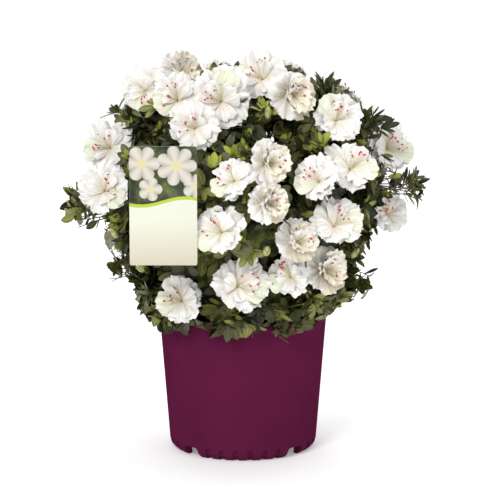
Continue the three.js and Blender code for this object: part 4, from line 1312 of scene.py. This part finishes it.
def addPetal(bloom, own, angle, finish, reach, width, rise, frill, cup=0.0):
    # each value is drawn from its span
    values = [own.uniform(*span) for span in (reach, width, rise, frill, petalValues["curl"])]
    sheet = petalSheet(bloom, angle, *values, own, cup)
    number = petalNames.index(finish)
    heap, slot = (tintedHeap, number - 1) if number else (whiteHeap, 0)
    pour(heap, sheet[None], petalFaces, petalUv, own.random(), slot)


def openBloom(bloom, own, first):
    outer, inner = petalValues["outer"], petalValues["inner"]
    for k in range(outer):
        angle = first + k * 360 / outer + own.uniform(-14, 14)
        # the upper petals are the longer ones
        longer = 1 + 0.13 * math.sin(math.radians(angle))
        addPetal(bloom, own, angle, "petalWhite", (0.76 * longer, 1.02 * longer), (0.44, 0.56), (0.06, 0.32),
                 (0.06, 0.11))
    for k in range(inner):
        angle = first + 30 + k * 360 / inner + own.uniform(-16, 16)
        addPetal(bloom, own, angle, "petalWhite", (0.5, 0.74), (0.32, 0.42), (0.24, 0.4), (0.05, 0.08))
    if bloom["green"] is not None:
        addPetal(bloom, own, bloom["green"], "petalGreen", (0.88, 0.96), (0.4, 0.46), (0.34, 0.4), (0.03, 0.045))


def cuppedBloom(bloom, own, first):
    # broad white petals behind, those towards one side a darker taupe that is painted shade, and a ruffled cream
    # heart set to one side
    for k in range(7):
        angle = first + k * 360 / 7 + own.uniform(-10, 10)
        finish = "petalPaintedShade" if angleBetween(angle, -40) < 52 else "petalWhite"
        addPetal(bloom, own, angle, finish, (0.78, 0.95), (0.42, 0.52), (0.25, 0.42), (0.05, 0.09), 0.3)
    look = bloom["look"]
    heart = dict(bloom, heart=bloom["heart"] + look * 4 + acrossFrom(look)[0] * bloom["radius"] * 0.16)
    for k in range(9):
        angle = first + 30 + k * goldenAngle
        away = 0.3 + 0.34 * k / 8
        finish = "petalCream" if k % 3 else "petalWhite"
        addPetal(heart, own, angle, finish, (away, away + 0.08), (0.26, 0.36), (0.5, 0.74), (0.05, 0.08), 0.6)


def addStamens(bloom, own):
    # a fan to one side of the throat: the first ones end in red anthers, the others in brown tips
    look, radius = bloom["look"], bloom["radius"]
    cupped = bloom["form"] == "cupped"
    base = bloom["heart"] + look * petalValues["neck"] * 0.8 * radius
    lift = 0.6 if cupped else 0.34
    spread = 110 if cupped else 62
    reds = 3 if cupped else 6
    fan = 90 if bloom["green"] is None else bloom["green"]
    fan += petalValues["fanAside"] * (-1 if (fan + 90) % 360 > 180 else 1)
    for k in range(petalValues["stamens"] + (5 if cupped else 0)):
        aside = around(look, fan + own.uniform(-spread, spread))
        away = own.uniform(0.3, 0.68) * radius
        tip = bloom["heart"] + aside * away + look * (lift + own.uniform(-0.02, 0.14)) * radius
        bend = mix(base, tip, 0.55) - aside * away * 0.2
        path = [onCurve((base, bend, tip), s) for s in np.linspace(0, 1, 6)]
        tubes(stamenHeap, [path], np.linspace(0.55, 0.4, 6), 3, own.random())
        size, slot = (2.3, 1) if k < reds else (1.35, 2)
        antherPlaces.append((tip, unit(tip - bend + own.normal(0, 5, 3)), size, slot))


for bloom in blooms:
    own = np.random.default_rng(petalValues["seed"] * 100 + bloom["key"])
    first = own.uniform(0, 60)
    look = bloom["look"]
    (openBloom if bloom["form"] == "open" else cuppedBloom)(bloom, own, first)
    addStamens(bloom, own)
    neck = bloom["heart"] + look * bloomShape["neck"] * bloom["radius"]
    for k in range(5):
        radial = around(look, first + k * 72)
        placeLeaves(sepalHeap, np.array([0]), (neck + radial)[None], (radial * 0.6 + look)[None],
                    (radial - look * 0.6)[None], np.array([9.0]), np.array([0.6]))

deselect()
bpy.ops.mesh.primitive_ico_sphere_add(subdivisions=2, radius=1)
ballPoints, ballFaces = patternOf(atOrigin(bpy.context.object, "ballPattern"))


def pourBall(heap, place, way, long, thick, slot=0, pointed=0.0):
    right, other = acrossFrom(unit(way))
    slim = (1 - pointed * np.maximum(0, ballPoints[:, 2]) ** 1.4)[:, None]
    points = (np.outer(ballPoints[:, 0], right) + np.outer(ballPoints[:, 1], other)) * thick * slim
    points = points + np.outer(ballPoints[:, 2], unit(way)) * long
    pour(heap, (place + points)[None], ballFaces, np.zeros((len(ballPoints), 2)), 0.5, slot)


for tip, way, size, slot in antherPlaces:
    pourBall(stamenHeap, tip, way, size, size * 0.6, slot)
whitePetals = meshFrom(whiteHeap, "whitePetals", [finishes["petalWhite"]])
tintedPetals = meshFrom(tintedHeap, "tintedPetals", [finishes[name] for name in petalNames[1:]])
stamens = meshFrom(stamenHeap, "stamens", [finishes[name] for name in ("filament", "anther", "pollenTip")])

# buds on short stalks among the whorls, some at named places
budValues = {"count": 46, "long": (5.5, 8.5), "named": 11, "slimness": 0.46, "pointed": 0.75, "scales": 4}
budHeap = newHeap()
budPlaces = [(ends[i] + ways[i] * 8, ways[i], dice.uniform(*budValues["long"]))
             for i in dice.permutation(len(ends))[:budValues["count"]]]
for azimuth, rise in leafValues["buds"]:
    place = canopyPoint(azimuth, rise, 0.98)
    budPlaces.append((place, unit(outwardAt(place) + point(0, 0, 1.4)), budValues["named"]))
for number, (place, way, long) in enumerate(budPlaces):
    if insideBlooms(place[None], 3)[0] or reachOf(place) > 1:
        continue
    nearest = ends[np.argmin(np.linalg.norm(ends - place, axis=1))]
    pourBall(budHeap, place, way, long, long * budValues["slimness"], pointed=budValues["pointed"])
    tubes(twigHeap, [[nearest, place - way * 3]], [0.9, 0.8], 4, 0.8)
    # scales that hug the bud
    count = budValues["scales"]
    turns = np.arange(count) * 2 * math.pi / count + number
    right, other = acrossFrom(way)
    radial = np.outer(np.cos(turns), right) + np.outer(np.sin(turns), other)
    placeLeaves(sepalHeap, np.zeros(count, int), place - way * long * 0.9 + radial * long * 0.25,
                way + radial * 0.22, radial - way * 0.22, np.full(count, long * 1.5), np.full(count, 0.4))
buds = meshFrom(budHeap, "buds", [finishes["bud"]])
sepals = meshFrom(sepalHeap, "sepals", [finishes["leafFresh"]])
twigs = meshFrom(twigHeap, "twigs", [finishes["twigBark"]])
foliageNodes = [f"foliage_{mass['name']}" for mass in masses]
for piece in (*leafPieces, twigs, whitePetals, tintedPetals, stamens, buds, sepals):
    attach(piece, "root")
for piece in (*leafPieces, twigs, whitePetals, tintedPetals):
    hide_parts(*foliageNodes)
print("foliage and blossom ready")


def makeCard():
    v = tagShape
    middle = (v["middleX"], v["frontY"] + v["thick"] / 2, v["top"] - v["height"] / 2)
    card = roundedBox("tagCard", (v["width"], v["thick"], v["height"]), middle,
                      lambda a, b: abs(a.y - b.y) > 1e-5, v["round"], 6)
    bpy.ops.object.mode_set(mode="OBJECT")
    soften(card, 0.2, 30)
    smooth(card, 30)
    return card


def makeLoop():
    # a flat strap from the card, over its twig and back, 1 mm thick
    v = tagShape
    top = v["top"] - v["loopDrop"]
    near, far = v["frontY"] + v["thick"] * 0.6, v["frontY"] + v["thick"] + v["loopReach"] - 0.5
    low, high = top - v["loopHeight"] + 0.5, top - 0.5
    path = [(near, high), (far - 3.5, high), (far - 1, high - 1), (far, high - 3.5), (far, low + 3.5),
            (far - 1, low + 1), (far - 3.5, low), (near, low)]
    count = len(path)
    half = v["loopWidth"] / 2
    points = []
    for index, (y, z) in enumerate(path):
        before, after = path[max(index - 1, 0)], path[min(index + 1, count - 1)]
        along = unit(np.array([after[0] - before[0], after[1] - before[1]]))
        for offset in (0.5, -0.5):
            for x in (-half, half):
                points.append((v["middleX"] + x, y + along[1] * offset, z - along[0] * offset))
    faces = []
    for a in range(0, (count - 1) * 4, 4):
        for one, two in ((0, 1), (1, 3), (3, 2), (2, 0)):
            faces.append([a + one, a + two, a + 4 + two, a + 4 + one])
    faces += [[0, 2, 3, 1], [(count - 1) * 4 + i for i in (0, 1, 3, 2)]]
    heap = newHeap()
    pour(heap, np.array(points)[None], faces, np.zeros((len(points), 2)), 0.5)
    return meshFrom(heap, "tagLoop", [finishes["tagPlastic"]])


def makeRosette():
    # a round flower for the card's print: the share of it at a place, from its middle and size
    inputs = {"Place": (0, 0, 0), "Middle X": 0.0, "Middle Z": 0.0, "Radius": 0.02, "Petals": 6.0}
    tree, source, out = group("printRosette", inputs, {"Flower": 1, "Heart": 1, "Fold": 1})
    parts = axes(tree, source["Place"])
    x = minus(tree, parts["X"], source["Middle X"])
    z = minus(tree, parts["Z"], source["Middle Z"])
    away = maths(tree, "SQRT", maths(tree, "ADD", times(tree, x, x), times(tree, z, z)))
    share = maths(tree, "DIVIDE", away, source["Radius"])
    turn = times(tree, maths(tree, "ARCTAN2", z, x), times(tree, source["Petals"], 0.5))
    wave = maths(tree, "ABSOLUTE", maths(tree, "COSINE", turn))
    edge = maths(tree, "ADD", times(tree, maths(tree, "POWER", wave, 0.5), 0.36), 0.64)
    inFold = minus(tree, 1.0, wave)
    return give(tree, out, {
        "Flower": ranged(tree, minus(tree, edge, share), -0.02, 0.03),
        "Heart": ranged(tree, share, 0.1, 0.34, 1.0, 0.0),
        "Fold": maths(tree, "MULTIPLY", inFold, maths(tree, "MINIMUM", share, 1.0), clamp=True),
    })


# the print's rosettes: middle x and z, radius and petals, in metres
rosettes = [(-0.070, 0.450, 0.019, 5.0), (-0.136, 0.446, 0.018, 5.0), (-0.148, 0.484, 0.027, 6.0),
            (-0.097, 0.481, 0.030, 7.0)]


def tagFinish():
    made, tree, shader = material("tagPrint", {"Roughness": 0.35, "Coat Weight": 0.2, "Coat Roughness": 0.2})
    place = objectPlace(tree)
    parts = axes(tree, place)
    # leafy field at the top, with rosettes
    ramp = node(tree, "ValToRGB", {"Fac": noise(tree, place, 55.0, 4.0)})
    ramp.color_ramp.elements.new(0.5)
    stops = ((0.35, colour(20, 26, 12)), (0.5, colour(52, 62, 28)), (0.68, colour(96, 108, 52)))
    for element, (position, shade) in zip(ramp.color_ramp.elements, stops):
        element.position = position
        element.color = shade
    field = ramp.outputs["Color"]
    rosette = makeRosette()
    for values in rosettes:
        inputs = {"Place": place, **dict(zip(("Middle X", "Middle Z", "Radius", "Petals"), values))}
        flower = node(tree, "Group", inputs, node_tree=rosette).outputs
        petal = mixed(tree, flower["Fold"], colour(210, 205, 193), colour(142, 133, 114))
        petal = mixed(tree, flower["Heart"], petal, colour(214, 204, 150))
        field = mixed(tree, flower["Flower"], field, petal)
    # a lime band, lower at the left, and the plain panel under it
    x = times(tree, minus(tree, parts["X"], tagShape["middleX"] * millimetre), 20.0)
    bend = maths(tree, "ADD", times(tree, maths(tree, "SINE", times(tree, x, 2.4)), 0.006), 0.427)
    over = minus(tree, parts["Z"], bend)
    panel = mixed(tree, ranged(tree, parts["Z"], 0.335, 0.40), colour(201, 193, 171), colour(220, 222, 205))
    lower = mixed(tree, maths(tree, "GREATER_THAN", over, -0.0025), panel, colour(176, 196, 48))
    printed = mixed(tree, maths(tree, "GREATER_THAN", over, 0.0025), lower, field)
    # the print is on the front alone
    normal = axes(tree, node(tree, "NewGeometry").outputs["Normal"])
    back = maths(tree, "GREATER_THAN", normal["Y"], -0.5)
    tree.links.new(mixed(tree, back, printed, colour(244, 242, 232)), shader["Base Color"])
    return made


tagCard = makeCard()
tagCard.data.materials.clear()
tagCard.data.materials.append(tagFinish())
tagLoop = makeLoop()
for piece in (tagCard, tagLoop):
    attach(piece, "root")
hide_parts("plant_tag")
# the level twig that carries it
hook = point(tagShape["middleX"], tagShape["frontY"] + tagShape["thick"] + tagShape["loopReach"] / 2,
             tagShape["top"] - tagShape["loopDrop"] - 1 - 0.3 - tagShape["twig"])
tagMass = next(mass for mass in masses if mass["name"] == "middle_7")
levelStart = hook + point(30, 0, 0)
riser = (onCurve(tagMass["stem"], 0.8), levelStart + point(30, 0, 0), levelStart)
run = [onCurve(riser, s) for s in np.linspace(0, 1, 12)] + [hook, hook - point(42, 0, 0)]
tagTwigHeap = newHeap()
tubes(tagTwigHeap, [run], [tagShape["twig"]] * 13 + [1.2], 8, 0.5)
tagTwig = meshFrom(tagTwigHeap, "tagTwig", [finishes["twigBark"]])
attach(tagTwig, "root")
print("tag ready")

studio = {"floor": 0.94, "glow": 0.25, "world": 0.44}
lamps = {  # place, aim, size, power
    "key": ((-1.2, -2.75, 2.35), (0, 0, 0.35), (1.2, 1.2), 62),
    "fill": ((2.4, -2.0, 1.2), (0, 0, 0.3), (1.8, 1.4), 18),
    "top": ((0.2, 0.3, 2.8), (0, 0, 0.4), (2.0, 2.0), 24),
    "behind": ((0, 2.6, 2.6), (0, 2.5, 0), (5, 2.4), 44),
    "rim": ((-0.3, 2.4, 2.0), (0, 0, 0.4), (1.4, 1.4), 8),
}


def pointAt(thing, place, aim):
    thing.location = place
    thing.rotation_euler = (Vector(aim) - Vector(place)).to_track_quat("-Z", "Y").to_euler()
    bpy.context.collection.objects.link(thing)


for name, (place, aim, size, power) in lamps.items():
    data = bpy.data.lights.new(name, "AREA")
    data.shape = "RECTANGLE"
    data.size, data.size_y = size
    data.energy = power
    pointAt(bpy.data.objects.new(name, data), place, aim)

deselect()
bpy.ops.mesh.primitive_grid_add(x_subdivisions=8, y_subdivisions=8, size=7, location=(0, 0, 0))
floor = atOrigin(bpy.context.object, "floor")
shade = studio["floor"]
paper = {"Roughness": 0.9, "Emission Color": (1, 1, 1, 1), "Emission Strength": studio["glow"]}
floorFinish, tree, shader = material("floorPaper", paper)
patchy = times(tree, noise(tree, objectPlace(tree), 3.0, 2.0), 0.05)
duller = (shade * 0.97, shade * 0.97, shade * 0.965, 1)
tree.links.new(mixed(tree, patchy, (shade, shade, shade, 1), duller), shader["Base Color"])
floor.data.materials.append(floorFinish)

# the paper behind is seen white, and lights the plant less
world = bpy.data.worlds.new("studio")
bpy.context.scene.world = world
world.use_nodes = True
sky = world.node_tree
backdrop = sky.nodes["Background"].inputs
backdrop["Color"].default_value = (1, 1, 1, 1)
toEye = times(sky, node(sky, "LightPath").outputs["Is Camera Ray"], 1 - studio["world"])
sky.links.new(maths(sky, "ADD", toEye, studio["world"]), backdrop["Strength"])

view = {"aim": (0.011, 0, 0.313), "lens": 181.9}
cameraData = bpy.data.cameras.new("camera")
cameraData.lens = view["lens"]
cameraData.sensor_width = 36
camera = bpy.data.objects.new("camera", cameraData)
pointAt(camera, viewpoint * millimetre, view["aim"])
bpy.context.scene.camera = camera
bpy.context.scene.view_settings.view_transform = "Standard"
